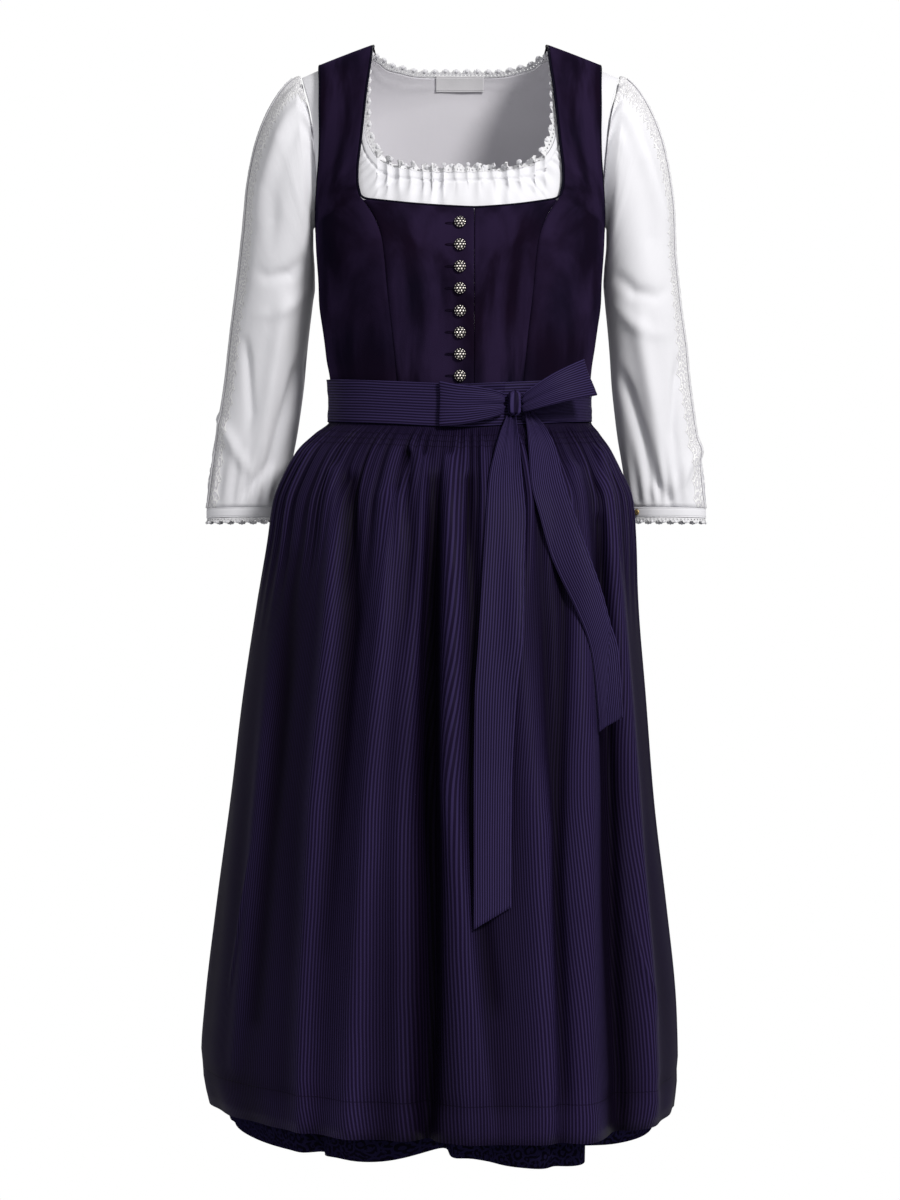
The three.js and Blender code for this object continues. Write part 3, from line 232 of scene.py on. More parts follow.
def sew(name, surface, wall, size, nodes, cloth, lie, relief=None, closed=False, outward=from_axis,
        cut=None, shaped=True, marks=None):
    """A cloth piece: surface(u, v) moved along its normal by relief(u, v, point), then to its wall's two sides.

    lie(u, v) gives the cloth's own lie in millimetres. cut is the flat width and length. For a shaped cut the
    area of the surface is worked out and clipped between LEAST_SHARE of the flat area and the whole of it, and
    the result is not kept.
    """
    slot, material = cloth
    u, v = grid(*size)
    place = surface(u, v)
    normal = facing(surface, u, v, outward, closed)
    if relief is not None:
        place = place + normal * np.asarray(relief(u, v, place))[..., None]
    flat = points(*lie(u, v), 0)[..., :2]
    piece = wall_object(name, place + normal * wall[0], place + normal * wall[1], flat, closed,
                        marks and {key: values(u, v) for key, values in marks.items()})
    dress(piece, nodes, slot, material)
    limit = cut[0] * cut[1]
    float(np.clip(area_of(place), LEAST_SHARE * limit, limit)) if shaped else None
    return piece


def merged(piece):
    """The piece with its doubled points joined and its faces turned outwards."""
    work = bmesh.new()
    work.from_mesh(piece.data)
    bmesh.ops.remove_doubles(work, verts=work.verts, dist=1e-6)
    bmesh.ops.recalc_face_normals(work, faces=work.faces)
    work.to_mesh(piece.data)
    work.free()
    return piece


def tangent_of(path, closed):
    return unit(np.roll(path, -1, 0) - np.roll(path, 1, 0) if closed else np.gradient(path, axis=0))


def run_length(path):
    """How far each point of a path lies along it."""
    return np.concatenate([[0], np.cumsum(np.linalg.norm(np.diff(path, axis=0), axis=-1))])


def tube_object(name, path, normal, radius, sides, closed):
    """A round cord: a circle of that radius carried along a path, standing on the path's normal."""
    tangent = tangent_of(path, closed)
    side = unit(np.cross(tangent, normal))
    up = np.cross(side, tangent)
    turn = np.linspace(0, 2 * np.pi, sides, endpoint=False)[None, :, None]
    rings = path[:, None] + radius * (np.cos(turn) * up[:, None] + np.sin(turn) * side[:, None])
    count = len(path)
    index = np.arange(count * sides).reshape(count, sides)
    index = np.concatenate([index, index[:, :1]], 1)
    if closed:
        index = np.concatenate([index, index[:1]], 0)
    length = run_length(path)
    lie = points(np.repeat(length, sides), np.tile(np.arange(sides) * radius, count), 0)[:, :2] / 1000
    vertices, faces = rings.reshape(-1, 3), quads_of(index).tolist()
    if not closed:
        vertices = np.concatenate([vertices, rings[[0, -1]].mean(1)])
        lie = np.concatenate([lie, lie[[0, -1]]])
        start, end = index[0].tolist(), index[-1].tolist()
        faces += [[b, a, count * sides] for a, b in zip(start, start[1:])]
        faces += [[a, b, count * sides + 1] for a, b in zip(end, end[1:])]
    return merged(make_object(name, vertices, faces, lie=lie))


# ---------------------------------------------------------------- colours and cloths


def colour(red, green, blue):
    """A linear colour from the 0 to 255 values of a screen."""
    c = np.array([red, green, blue]) / 255
    linear = np.where(c <= 0.04045, c / 12.92, ((c + 0.055) / 1.055) ** 2.4)
    return (*linear.tolist(), 1.0)


def node(tree, kind, feeds=(), **settings):
    """A shader node with its settings, and what feeds its sockets: a value, or another node's socket."""
    made = tree.nodes.new("ShaderNode" + kind)
    for key, value in settings.items():
        setattr(made, key, value)
    for socket, value in dict(feeds).items():
        if isinstance(value, bpy.types.NodeSocket):
            tree.links.new(value, made.inputs[socket])
        else:
            made.inputs[socket].default_value = value
    return made


def noise(tree, place, scale, detail, distortion=0.0, output="Fac"):
    feeds = {"Vector": place, "Scale": scale, "Detail": detail, "Distortion": distortion}
    return node(tree, "TexNoise", feeds).outputs[output]


def split_place(tree, place):
    return node(tree, "SeparateXYZ", {0: place}).outputs


def mark(tree, name):
    """A number that the mesh holds for each of its points."""
    return node(tree, "Attribute", attribute_name=name).outputs["Fac"]


def maths(tree, operation, a, b=0.0, c=0.0):
    return node(tree, "Math", {0: a, 1: b, 2: c}, operation=operation).outputs[0]


def times(tree, a, b):
    return maths(tree, "MULTIPLY", a, b)


def inverse(tree, value):
    return maths(tree, "SUBTRACT", 1.0, value)


def blend(tree, share, a, b):
    return node(tree, "Mix", {0: share, 6: a, 7: b}, data_type="RGBA").outputs[2]


def to_range(tree, value, low, high, to_low=0.0, to_high=1.0):
    return node(tree, "MapRange", {0: value, 1: low, 2: high, 3: to_low, 4: to_high},
                interpolation_type="SMOOTHSTEP").outputs[0]


def group(name, inputs, outputs, build):
    """A shader node group with named inputs and outputs. build(tree, inputs) returns what leaves by them."""
    tree = bpy.data.node_groups.new(name, "ShaderNodeTree")
    for key, (kind, default) in inputs.items():
        socket = tree.interface.new_socket(key, in_out="INPUT", socket_type="NodeSocket" + kind)
        if default is not None:
            socket.default_value = default
    for key in outputs:
        tree.interface.new_socket(key, in_out="OUTPUT", socket_type="NodeSocketFloat")
    entry, leaving = tree.nodes.new("NodeGroupInput"), tree.nodes.new("NodeGroupOutput")
    results = build(tree, entry.outputs)
    for key, result in zip(outputs, results):
        tree.links.new(result, leaving.inputs[key])
    return tree


def use(tree, shared, **feeds):
    """A shared effect placed in a material with its own values."""
    return node(tree, "Group", node_tree=shared, feeds=feeds).outputs


def build_ribs(tree, given):
    """Ribs: a sine of U over the pitch, which wanders a little with a slow noise."""
    across = split_place(tree, given["Place"])[0]
    wander = noise(tree, given["Place"], 14.0, 1.0)
    phase = maths(tree, "ADD", maths(tree, "DIVIDE", across, given["Pitch"]), times(tree, wander, 0.5))
    wave = maths(tree, "SINE", times(tree, phase, 2 * np.pi))
    height = maths(tree, "MULTIPLY_ADD", wave, 0.5, 0.5)
    return [height, to_range(tree, height, 0.35, 0.85)]


def build_threads(tree, given):
    """Crossed threads: the product of a sine along U and one along V."""
    split = split_place(tree, given["Place"])
    turn = maths(tree, "DIVIDE", 2 * np.pi, given["Pitch"])
    waves = [maths(tree, "SINE", times(tree, split[k], turn)) for k in (0, 1)]
    return [maths(tree, "MULTIPLY_ADD", times(tree, *waves), 0.5, 0.5)]


def build_unevenness(tree, given):
    """Uneven dye and light: a slow noise of few octaves, spread to the range between Low and High."""
    cloud = noise(tree, given["Place"], given["Scale"], 3.0)
    return [node(tree, "MapRange", {0: cloud, 1: 0.3, 2: 0.7, 3: given["Low"], 4: given["High"]}).outputs[0]]


def build_pile(tree, given):
    """Velvet pile: a fine noise for its tips, and streaks where it was brushed down, drawn out along V."""
    tips = noise(tree, given["Place"], 1600.0, 2.0)
    drawn = node(tree, "Mapping", {0: given["Place"], 3: (1.0, 0.3, 1.0)}).outputs[0]
    streaks = noise(tree, drawn, 34.0, 5.0, 0.4)
    return [tips, to_range(tree, streaks, 0.36, 0.66)]


def build_scrolls(tree, given):
    """Woven scrolls: rings of the distance to scattered centres, with leaves from a second set of them."""
    wander = noise(tree, given["Place"], 70.0, 1.0, output="Color")
    moved = node(tree, "VectorMath", {0: wander, 1: (0.006, 0.006, 0.0)}, operation="MULTIPLY").outputs[0]
    place = node(tree, "VectorMath", {0: given["Place"], 1: moved}, operation="ADD").outputs[0]
    big = node(tree, "TexVoronoi", {"Vector": place, "Scale": given["Scale"]},
               voronoi_dimensions="2D").outputs[0]
    small = node(tree, "TexVoronoi", {"Vector": place, "Scale": times(tree, given["Scale"], 2.3)},
                 voronoi_dimensions="2D", feature="SMOOTH_F1").outputs[0]
    rings = maths(tree, "SINE", times(tree, big, 15.0))
    leaves = maths(tree, "SINE", times(tree, small, 11.0))
    return [maths(tree, "MAXIMUM", to_range(tree, rings, 0.1, 0.45), to_range(tree, leaves, 0.55, 0.8))]


def build_holes(tree, given):
    """Pin holes: discs on a line along U, one to each pitch, at the height At and with the radius given."""
    split = split_place(tree, given["Place"])
    shifted = maths(tree, "ADD", maths(tree, "DIVIDE", split[0], given["Pitch"]), given["Shift"])
    along = times(tree, maths(tree, "SUBTRACT", maths(tree, "FRACT", shifted), 0.5), given["Pitch"])
    up = maths(tree, "SUBTRACT", split[1], given["At"])
    squares = maths(tree, "ADD", times(tree, along, along), times(tree, up, up))
    far = maths(tree, "DIVIDE", maths(tree, "SQRT", squares), given["Radius"])
    return [to_range(tree, far, 0.8, 1.1, 1.0, 0.0)]


def build_stitches(tree, given):
    """A row of stitches: short dashes along U on the line where V is At."""
    split = split_place(tree, given["Place"])
    beat = maths(tree, "SINE", times(tree, split[0], maths(tree, "DIVIDE", 2 * np.pi, given["Pitch"])))
    away = maths(tree, "ABSOLUTE", maths(tree, "SUBTRACT", split[1], given["At"]))
    line = to_range(tree, away, 0.0002, 0.0009, 1.0, 0.0)
    return [times(tree, line, to_range(tree, beat, -0.5, 0.1)), line]


def effect(name, outputs, build, **numbers):
    """A shared effect that takes a place and numbers with these defaults."""
    inputs = {"Place": ("Vector", None), **{key: ("Float", value) for key, value in numbers.items()}}
    return group(name, inputs, outputs, build)


ribs = effect("woven ribs", ["Height", "Thread"], build_ribs, Pitch=0.003)
threads = effect("crossed threads", ["Height"], build_threads, Pitch=0.001)
unevenness = effect("uneven dye", ["Value"], build_unevenness, Scale=8.0, Low=0.0, High=1.0)
pile = effect("velvet pile", ["Tips", "Streaks"], build_pile)
scrolls = effect("woven scrolls", ["Mask"], build_scrolls, Scale=45.0)
holes = effect("pin holes", ["Mask"], build_holes, Pitch=0.005, Shift=0.0, At=0.005, Radius=0.001)
stitches = effect("stitches", ["Mask", "Line"], build_stitches, Pitch=0.004, At=0.0)


def material(name, **surface):
    """A new material: its node tree, its shader, the piece's lie and its place."""
    made = bpy.data.materials.new(name)
    made.use_nodes = True
    tree = made.node_tree
    shader = tree.nodes["Principled BSDF"]
    for key, value in surface.items():
        shader.inputs[key.replace("_", " ").title().replace("Ior", "IOR")].default_value = value
    lie = node(tree, "UVMap", uv_map="lie").outputs[0]
    place = node(tree, "TexCoord").outputs["Object"]
    return made, tree, shader, lie, place


def bump(tree, shader, height, distance, strength=1.0, under=None):
    feeds = {"Height": height, "Distance": distance, "Strength": strength}
    if under is not None:
        feeds["Normal"] = under
    normal = node(tree, "Bump", feeds).outputs[0]
    tree.links.new(normal, shader.inputs["Normal"])
    return normal


def velvet_cloth():
    """Velvet whose colour drifts in slow clouds and pales where the pile is brushed."""
    made, tree, shader, lie, place = material("aubergine velvet", roughness=0.95, specular_ior_level=0.0,
                                              sheen_weight=0.2, sheen_roughness=0.34,
                                              sheen_tint=colour(98, 82, 134))
    nap = use(tree, pile, Place=lie)
    clouds = use(tree, unevenness, Place=place, Scale=7.0, Low=0.0, High=1.0)["Value"]
    base = blend(tree, clouds, colour(14, 13, 27), colour(24, 13, 28))
    brushed = blend(tree, times(tree, nap["Streaks"], 0.75), base, colour(44, 33, 60))
    tree.links.new(brushed, shader.inputs["Base Color"])
    bump(tree, shader, nap["Tips"], 0.0004, 0.6)
    return made


def ribbed_cloth(name, pitch, dark, light, hem_rows=(), painted_light_pair=None):
    """The apron's ribbed weave. hem_rows are the heights V of its rows of stitches, and the pair given last is
    a lighter dark and light thread, blended in where the mark is high: painted highlight on the cloth's crests,
    and painted shade left in its troughs."""
    made, tree, shader, lie, place = material(name, roughness=0.5, specular_ior_level=0.025, sheen_weight=0.01,
                                              sheen_roughness=0.4, sheen_tint=colour(120, 110, 170))
    weave = use(tree, ribs, Place=lie, Pitch=pitch)
    clouds = use(tree, unevenness, Place=place, Scale=5.0, Low=0.75, High=1.15)["Value"]
    thread = times(tree, weave["Thread"], clouds)
    # Painted light: where the mark is high the threads turn lighter as a painted highlight on the crests, and
    # where it is low they keep the darker pair as painted shade.
    if painted_light_pair is not None:
        painted_crest_light = mark(tree, "painted_crest_light")
        dark, light = blend(tree, painted_crest_light, dark, painted_light_pair[0]), blend(tree, painted_crest_light, light, painted_light_pair[1])
    base = blend(tree, thread, dark, light)
    normal = bump(tree, shader, weave["Height"], 0.0004, 0.4)
    for at in hem_rows:
        row = use(tree, stitches, Place=lie, Pitch=0.004, At=at)
        base = blend(tree, times(tree, row["Line"], 0.6), base, dark)
        normal = bump(tree, shader, inverse(tree, row["Mask"]), 0.0006, 0.8, normal)
    tree.links.new(base, shader.inputs["Base Color"])
    return made


def brocade_cloth():
    """Fine ribs with woven scrolls that are a little smoother and lighter than their ground."""
    made, tree, shader, lie, place = material("navy brocade", roughness=0.6, specular_ior_level=0.0,
                                              sheen_weight=0.01, sheen_tint=colour(110, 110, 180))
    motif = use(tree, scrolls, Place=lie, Scale=88.0)["Mask"]
    clouds = use(tree, unevenness, Place=place, Scale=4.0, Low=0.75, High=1.1)["Value"]
    ground = use(tree, ribs, Place=lie, Pitch=0.0012)["Height"]
    base = blend(tree, times(tree, motif, clouds), colour(11, 8, 20), colour(25, 22, 48))
    tree.links.new(base, shader.inputs["Base Color"])
    tree.links.new(to_range(tree, motif, 0.0, 1.0, 0.7, 0.52), shader.inputs["Roughness"])
    under = bump(tree, shader, ground, 0.0002, 0.4)
    bump(tree, shader, motif, 0.0003, 0.4, under)
    return made


SCALLOP_PITCH, SCALLOP_DEPTH = 0.026, 0.005


def cotton_cloth(name, tone, seam_rows=(), border=None):
    """White cloth with stitched rows at heights V, and embroidery up to a scalloped line where U is border."""
    made, tree, shader, lie, place = material(name, roughness=0.82, specular_ior_level=0.25, sheen_weight=0.15,
                                              sheen_roughness=0.5)
    weave = use(tree, threads, Place=lie, Pitch=0.0011)["Height"]
    clouds = use(tree, unevenness, Place=place, Scale=6.0, Low=0.0, High=1.0)["Value"]
    creases = noise(tree, lie, 26.0, 4.0)
    base = blend(tree, clouds, tone, tuple(0.97 * c for c in tone[:3]) + (1.0,))
    normal = bump(tree, shader, weave, 0.0001, 0.3)
    normal = bump(tree, shader, creases, 0.0012, 0.5, normal)
    if border is not None:
        split = split_place(tree, lie)
        beat = maths(tree, "SINE", times(tree, split[1], 2 * np.pi / SCALLOP_PITCH))
        scallop = maths(tree, "MULTIPLY_ADD", maths(tree, "ABSOLUTE", beat), SCALLOP_DEPTH, split[0])
        line = maths(tree, "SUBTRACT", scallop, border)
        inside = to_range(tree, line, 0.0, 0.0006, 1.0, 0.0)
        cord = to_range(tree, maths(tree, "ABSOLUTE", line), 0.0004, 0.0012, 1.0, 0.0)
        curls = times(tree, use(tree, scrolls, Place=lie, Scale=125.0)["Mask"], inside)
        thread = maths(tree, "MAXIMUM", curls, cord)
        base = blend(tree, times(tree, inside, 0.6), base, colour(214, 212, 219))
        base = blend(tree, thread, base, colour(253, 253, 254))
        normal = bump(tree, shader, thread, 0.0009, 0.9, normal)
    tree.links.new(base, shader.inputs["Base Color"])
    for at in seam_rows:
        row = use(tree, stitches, Place=lie, Pitch=0.003, At=at)
        normal = bump(tree, shader, inverse(tree, row["Line"]), 0.0005, 0.7, normal)
    return made


def lace_cloth(name, pitch, rows):
    """White cotton lace with rows of pin holes, each row (height V, holes to a pitch, radius, shift)."""
    made, tree, shader, lie, _ = material(name, roughness=0.8, specular_ior_level=0.2, sheen_weight=0.2)
    opening = None
    for at, share, radius, shift in rows:
        mask = use(tree, holes, Place=lie, Pitch=pitch * share, Shift=shift, At=at, Radius=radius)["Mask"]
        opening = mask if opening is None else maths(tree, "MAXIMUM", opening, mask)
    thread = use(tree, threads, Place=lie, Pitch=0.0012)["Height"]
    solid = inverse(tree, opening)
    tree.links.new(solid, shader.inputs["Alpha"])
    tone = use(tree, unevenness, Place=lie, Scale=400.0, Low=0.0, High=1.0)["Value"]
    base = blend(tree, tone, colour(236, 236, 240), colour(250, 250, 252))
    tree.links.new(base, shader.inputs["Base Color"])
    normal = bump(tree, shader, thread, 0.0004, 0.7)
    bump(tree, shader, solid, 0.0006, 0.8, normal)
    return made


def embroidery_cloth():
    """White thread raised where the mark is high and sheer net where it is low."""
    made, tree, shader, lie, _ = material("white embroidery", roughness=0.7, specular_ior_level=0.3,
                                          sheen_weight=0.2)
    base = blend(tree, mark(tree, "thread"), colour(196, 195, 203), colour(252, 252, 253))
    tree.links.new(base, shader.inputs["Base Color"])
    bump(tree, shader, noise(tree, lie, 1500.0, 2.0), 0.0003, 0.5)
    return made


def metal(name, bright, dark, roughness):
    """Cast metal, bright where it stands up and dark in its hollows."""
    made, tree, shader, _, place = material(name, metallic=0.7)
    grain = noise(tree, place, 900.0, 3.0)
    base = blend(tree, to_range(tree, mark(tree, "relief"), 0.3, 0.62), dark, bright)
    tree.links.new(base, shader.inputs["Base Color"])
    worn = to_range(tree, grain, 0.2, 0.8, roughness - 0.08, roughness + 0.12)
    tree.links.new(worn, shader.inputs["Roughness"])
    bump(tree, shader, grain, 0.0001, 0.4)
    return made


VELVET = ("bodice_velvet", velvet_cloth())
BROCADE = ("skirt_brocade", brocade_cloth())
PIPING = ("bodice_velvet", ribbed_cloth("piping cord cloth", 0.0009, colour(9, 8, 18), colour(20, 17, 36)))
# The second pair is the lighter thread for the apron's crests: a painted highlight, with the first pair as
# painted shade in the troughs.
APRON_PAIR, APRON_PAINTED_LIGHT_PAIR = (colour(9, 5, 16), colour(19, 12, 31)), (colour(26, 18, 42), colour(50, 41, 78))
SHIRRING_AND_HEM_ROWS = (0.012, 0.018, 0.024, 0.700)
APRON_CLOTH = ("apron_rib", ribbed_cloth("ribbed apron cloth", 0.0032, *APRON_PAIR, SHIRRING_AND_HEM_ROWS,
                                         APRON_PAINTED_LIGHT_PAIR))
RIBBON = ("apron_rib", ribbed_cloth("ribbed sash cloth", 0.0030, colour(27, 20, 43), colour(56, 47, 86)))
WHITE = colour(240, 240, 245)
COTTON = ("blouse_cotton", cotton_cloth("white blouse cotton", WHITE))
# The back's cotton is the blouse's own white made greyer: painted shade for the inside of the back.
SHADED_BACK_COTTON = ("blouse_cotton", cotton_cloth("blouse back cotton in painted shade", colour(226, 224, 230)))
SLEEVE_COTTON = ("blouse_cotton", cotton_cloth("embroidered sleeve cotton", WHITE, (), 0.039))
CUFF_COTTON = ("blouse_cotton", cotton_cloth("white cuff cotton", WHITE, (0.0015, 0.0095)))
LABEL_SATIN = ("blouse_cotton", cotton_cloth("bare label satin", colour(226, 225, 228), (0.0012, 0.0148)))
NECK_LACE_CLOTH = ("blouse_lace", lace_cloth("neck lace", 0.013, (
    (0.0035, 0.3333, 0.00085, 0.0), (0.0075, 1.0, 0.0011, 0.0))))
CUFF_LACE_CLOTH = ("blouse_lace", lace_cloth("cuff lace", 0.0126, (
    (0.0022, 0.3333, 0.0007, 0.0), (0.0052, 1.0, 0.0008, 0.0))))
EMBROIDERY = ("blouse_lace", embroidery_cloth())
SILVER = ("button_silver", metal("darkened silver", colour(246, 240, 230), colour(20, 16, 24), 0.3))
GOLD = ("button_gold", metal("soft gold", colour(232, 205, 150), colour(110, 84, 48), 0.32))

# ---------------------------------------------------------------- torso form

SIDE_ANGLE = 89.92
SIDE = np.inf
RIDGE, WAIST = "ridge", "waist"
BODICE_WALL, BLOUSE_WALL = (0.3, 2.3), (-4.4, -3.2)
WAIST_SEAM, SKIRT_HEM = -385, -1174
SEAM_GAP, RIDGE_GAP, SEAM_TURN = 0.3, 0.15, 0.2
TORSO_SQUARE = 0.87
RIDGE_SLOPE, RIDGE_ROUND, RIDGE_AT = 0.42, 60, 97
ROLL_REACH, ROLL_DROP = 114, 70
BUST_RISE, BUST_X, BUST_LEVEL = 15, 82, -238
WAIST_DIP = 13

# height, half width, front, back, middle
torso_at = table([
    [10, 218, 62, 58, 5], [-40, 200, 72, 72, 5], [-100, 180, 84, 88, 4], [-140, 168, 91, 95, 4],
    [-180, 158.7, 98, 99, 3], [-224, 155, 105, 99, 0], [-275, 152.7, 104, 94, 0], [-308, 148.4, 100, 90, 0],
    [-341, 144, 97, 88, 0], [-363, 140.7, 96, 87, 0], [-385, 138.7, 95.5, 86.5, 0],
    [-420, 138.7, 95.5, 86.5, 0],
])


def ridge_height(x):
    """The shoulder ridge falls outwards, and is level at the centre: a slope times a rounded distance."""
    return 3 - RIDGE_SLOPE * (np.hypot(x, RIDGE_ROUND) - np.hypot(RIDGE_AT, RIDGE_ROUND))


def shoulder_roll(x, reach):
    """Height and fullness at a reach down from the ridge: a quarter turn over the roll, then straight down."""
    length = np.abs(reach)
    slope = ridge_height(x) * (1 - smooth_step(ROLL_REACH, 270, length))
    turn = np.clip(length / ROLL_REACH, 0, 1) * np.pi / 2
    rolled, hanging = slope - ROLL_DROP * (1 - np.cos(turn)), slope - ROLL_DROP - length + ROLL_REACH
    return np.where(length >= ROLL_REACH, hanging, rolled), np.sin(turn)


def torso(angle, reach):
    """A point of the torso: a squarish section at the height that the shoulder roll gives, with the bust."""
    turn = np.radians(np.clip(angle, -SIDE_ANGLE, SIDE_ANGLE))
    across, ahead = signed_power(np.sin(turn), TORSO_SQUARE), np.cos(turn) ** TORSO_SQUARE
    z, full = shoulder_roll(0.0 * across, reach)
    for _ in range(8):
        x = torso_at(z)[0] * across
        z, full = shoulder_roll(x, reach)
    _, front, back, middle = torso_at(z)
    bust = BUST_RISE * ahead * bell(np.abs(x) - BUST_X, 44) * bell(z - BUST_LEVEL, 46)
    y = np.where(reach >= 0, middle - front * ahead * full - bust, middle + back * ahead * full)
    return points(x, y, z)


def form_place(x, z, on_back=False):
    """The angle and reach of a place given by x and z. The reach is found by halving."""
    half = torso_at(z)[0]
    across = np.minimum(1, np.abs(x) / half)
    angle = np.sign(x) * np.minimum(SIDE_ANGLE, np.degrees(np.arcsin(across ** (1 / TORSO_SQUARE))))
    reach, span = 0.0 * across, 600.0
    while span > 1e-4:
        span /= 2
        reach = reach + span * (shoulder_roll(across * half, reach + span)[0] > z)
    return angle, -reach if on_back else reach


def front_drop(angle):
    """How far the waist seam dips towards the front."""
    return -WAIST_DIP * np.maximum(0, 1 - np.abs((angle + 180) % 360 - 180) / 90)


def seam_place(row, on_back, side):
    """Angle and reach of a row (x, z), where z may be the shoulder ridge or the waist seam."""
    x, z = row
    if z == RIDGE:
        return form_place(side * x, ridge_height(x), on_back)[0], -RIDGE_GAP if on_back else RIDGE_GAP
    if z == WAIST:
        angle = form_place(side * x, WAIST_SEAM + SEAM_GAP, on_back)[0]
        return form_place(side * x, WAIST_SEAM + SEAM_GAP + (0 if on_back else front_drop(angle)), on_back)
    return form_place(side * x, z, on_back)


def edge(*runs, on_back=False, side=1, shift=0.0):
    """A panel's edge through runs of (x, z) rows, as a function of 0 to 1 that gives angle and reach."""
    placed = [np.array([seam_place(row, on_back, side) for row in run], float) for run in runs]
    total = sum(len(places) - 1 for places in placed)

    def at(t):
        position, start = np.clip(t, 0, 1) * total, 0
        angle, reach = np.zeros(np.shape(t)), np.zeros(np.shape(t))
        for places in placed:
            keys = np.arange(len(places)) + start
            inside = (position >= start) & (position <= keys[-1])
            angle = np.where(inside, smooth_through(keys, places[:, 0], position), angle)
            reach = np.where(inside, smooth_through(keys, places[:, 1], position), reach)
            start = keys[-1]
        return angle + side * shift, reach

    return at


def across_centre(half_edge):
    """An edge and its mirror image, from the wearer's right end over the centre to the left."""
    def at(t):
        angle, reach = half_edge(np.abs(2 * t - 1))
        return np.sign(2 * t - 1) * angle, reach

    return at


def panel_between(first, second, sag=None):
    """A panel on the torso: the straight in angle and reach from one edge to the other."""
    def surface(u, v):
        (angle, reach), (angle_far, reach_far) = first(v), second(v)
        low = 0 if sag is None else sag(u, v)
        return torso(mix(angle, angle_far, u), mix(reach, reach_far, u) + low)

    return surface


# ---------------------------------------------------------------- bodice

PRINCESS_FRONT = [(66, WAIST), (71, -330), (77, -275), (82, -225), (90, -200), (103, -177.5)]
STRAP_INNER = [(103, -177.5), (107.5, -171), (110, -160), (110.5, -143), (106.5, -105), (102, -60), (97, -18),
               (94.5, RIDGE)]
FRONT_SIDE_SEAM = [(SIDE, WAIST), (SIDE, -345), (SIDE, -308), (SIDE, -272), (SIDE, -237), (SIDE, -204)]
STRAP_OUTER = [(SIDE, -204), (156.2, -198), (155.8, -180), (153.5, -157), (150.5, -125), (150, -82),
               (151, -38), (151.5, RIDGE)]
CLOSING_EDGE = [WAIST, -335, -285, -240, -212, -190]
SIDE_BACK_OUTER = [(SIDE, WAIST), (SIDE, -330), (SIDE, -265), (SIDE, -204), (155.8, -190), (151, -136)]
PRINCESS_BACK = [(44, WAIST), (48, -340), (56, -280), (74, -225), (108, -180), (150, -132)]
STRAP_BACK_OUTER = [(150, -132), (150.5, -90), (151.5, -40), (151.5, RIDGE)]
BACK_NECK_HALF = [(0, -53), (34, -51), (68, -42), (90, -22), (97, RIDGE)]
BACK_WAIST_HALF = [(0, WAIST), (22, WAIST), (44, WAIST)]
CORNER = 5 / 12
CLOSING_X = 14.5
SIDE_FRONT_WIDTH, SIDE_BACK_WIDTH = 62, 75
BUTTONS, FIRST_BUTTON, LAST_BUTTON = 8, -206.0, -367.0


def seam_tuck(distance):
    """The cloth dips into a seam, and stands up a little beside it."""
    return -1.0 * bell(distance, 1.6) + 0.35 * bell(distance - 5, 3)


def drag_lines(x, z):
    """Soft drag lines of the velvet: faint level ripples above the waist, and slanting ones below the arm."""
    ripple = np.sin(z / 9.0 + 1.3 * np.sin(x / 31.0)) * bell(z + 352, 20) * 0.5
    slant = np.sin((z + 0.5 * np.abs(x)) / 13.0) * bell(z + 250, 50) * smooth_step(90, 140, np.abs(x)) * 0.55
    return ripple + slant


bodice = {}
for side, hand in ((-1, "right"), (1, "left")):
    inner = edge(PRINCESS_FRONT, STRAP_INNER, side=side, shift=SEAM_TURN)
    outer = edge(FRONT_SIDE_SEAM, STRAP_OUTER, side=side)
    closing = edge([(CLOSING_X + (SEAM_GAP if side > 0 else 0), z) for z in CLOSING_EDGE])
    princess = edge(PRINCESS_FRONT, side=side)
    back_outer = edge(SIDE_BACK_OUTER, on_back=True, side=side)
    back_princess = edge(PRINCESS_BACK, on_back=True, side=side, shift=SEAM_TURN)
    side_front = panel_between(inner, outer)
    centre_front = panel_between(princess, closing, lambda u, v: 2.5 * np.sin(np.pi * u) * v ** 8)
    side_back = panel_between(back_outer, back_princess)
    bodice[hand] = (side_front, centre_front, side_back)

    def side_front_relief(u, v, place):
        sewn = 1 - smooth_step(CORNER - 0.01, CORNER + 0.01, v)
        tucks = seam_tuck(u * SIDE_FRONT_WIDTH) + seam_tuck((1 - u) * SIDE_FRONT_WIDTH)
        return tucks * sewn + drag_lines(place[..., 0], place[..., 2])

    def centre_front_relief(u, v, place, lap=side < 0):
        folded = 0.7 * smooth_step(0.9, 0.97, u) if lap else -0.7 * smooth_step(0.86, 1, u)
        rolled = 0.6 * bell((1 - v) * 190 - 3, 2.2)
        return seam_tuck(u * SIDE_FRONT_WIDTH) + folded + rolled + drag_lines(place[..., 0], place[..., 2])

    def side_back_relief(u, v, place):
        tucks = seam_tuck(u * SIDE_BACK_WIDTH) + seam_tuck((1 - u) * SIDE_BACK_WIDTH)
        return tucks + drag_lines(place[..., 0], place[..., 2])

    sew(f"velvet_side_front_{hand}", side_front, BODICE_WALL, (40, 90), [f"bodice_side_front_{hand}"], VELVET,
        lambda u, v: (u * SIDE_FRONT_WIDTH, v * 400), side_front_relief, cut=(0.085, 0.41))
    sew(f"velvet_centre_front_{hand}", centre_front, BODICE_WALL, (44, 60), [f"bodice_centre_front_{hand}"],
        VELVET, lambda u, v: (u * 70 + 200, v * 200), centre_front_relief, cut=(0.095, 0.21))
    sew(f"velvet_side_back_{hand}", side_back, BODICE_WALL, (36, 70), [f"bodice_side_back_{hand}"], VELVET,
        lambda u, v: (u * 90 + 400, v * 240), side_back_relief, cut=(0.13, 0.25))

centre_back = panel_between(
    across_centre(edge(BACK_NECK_HALF, on_back=True)),
    across_centre(edge(BACK_WAIST_HALF, PRINCESS_BACK, STRAP_BACK_OUTER, on_back=True)),
)


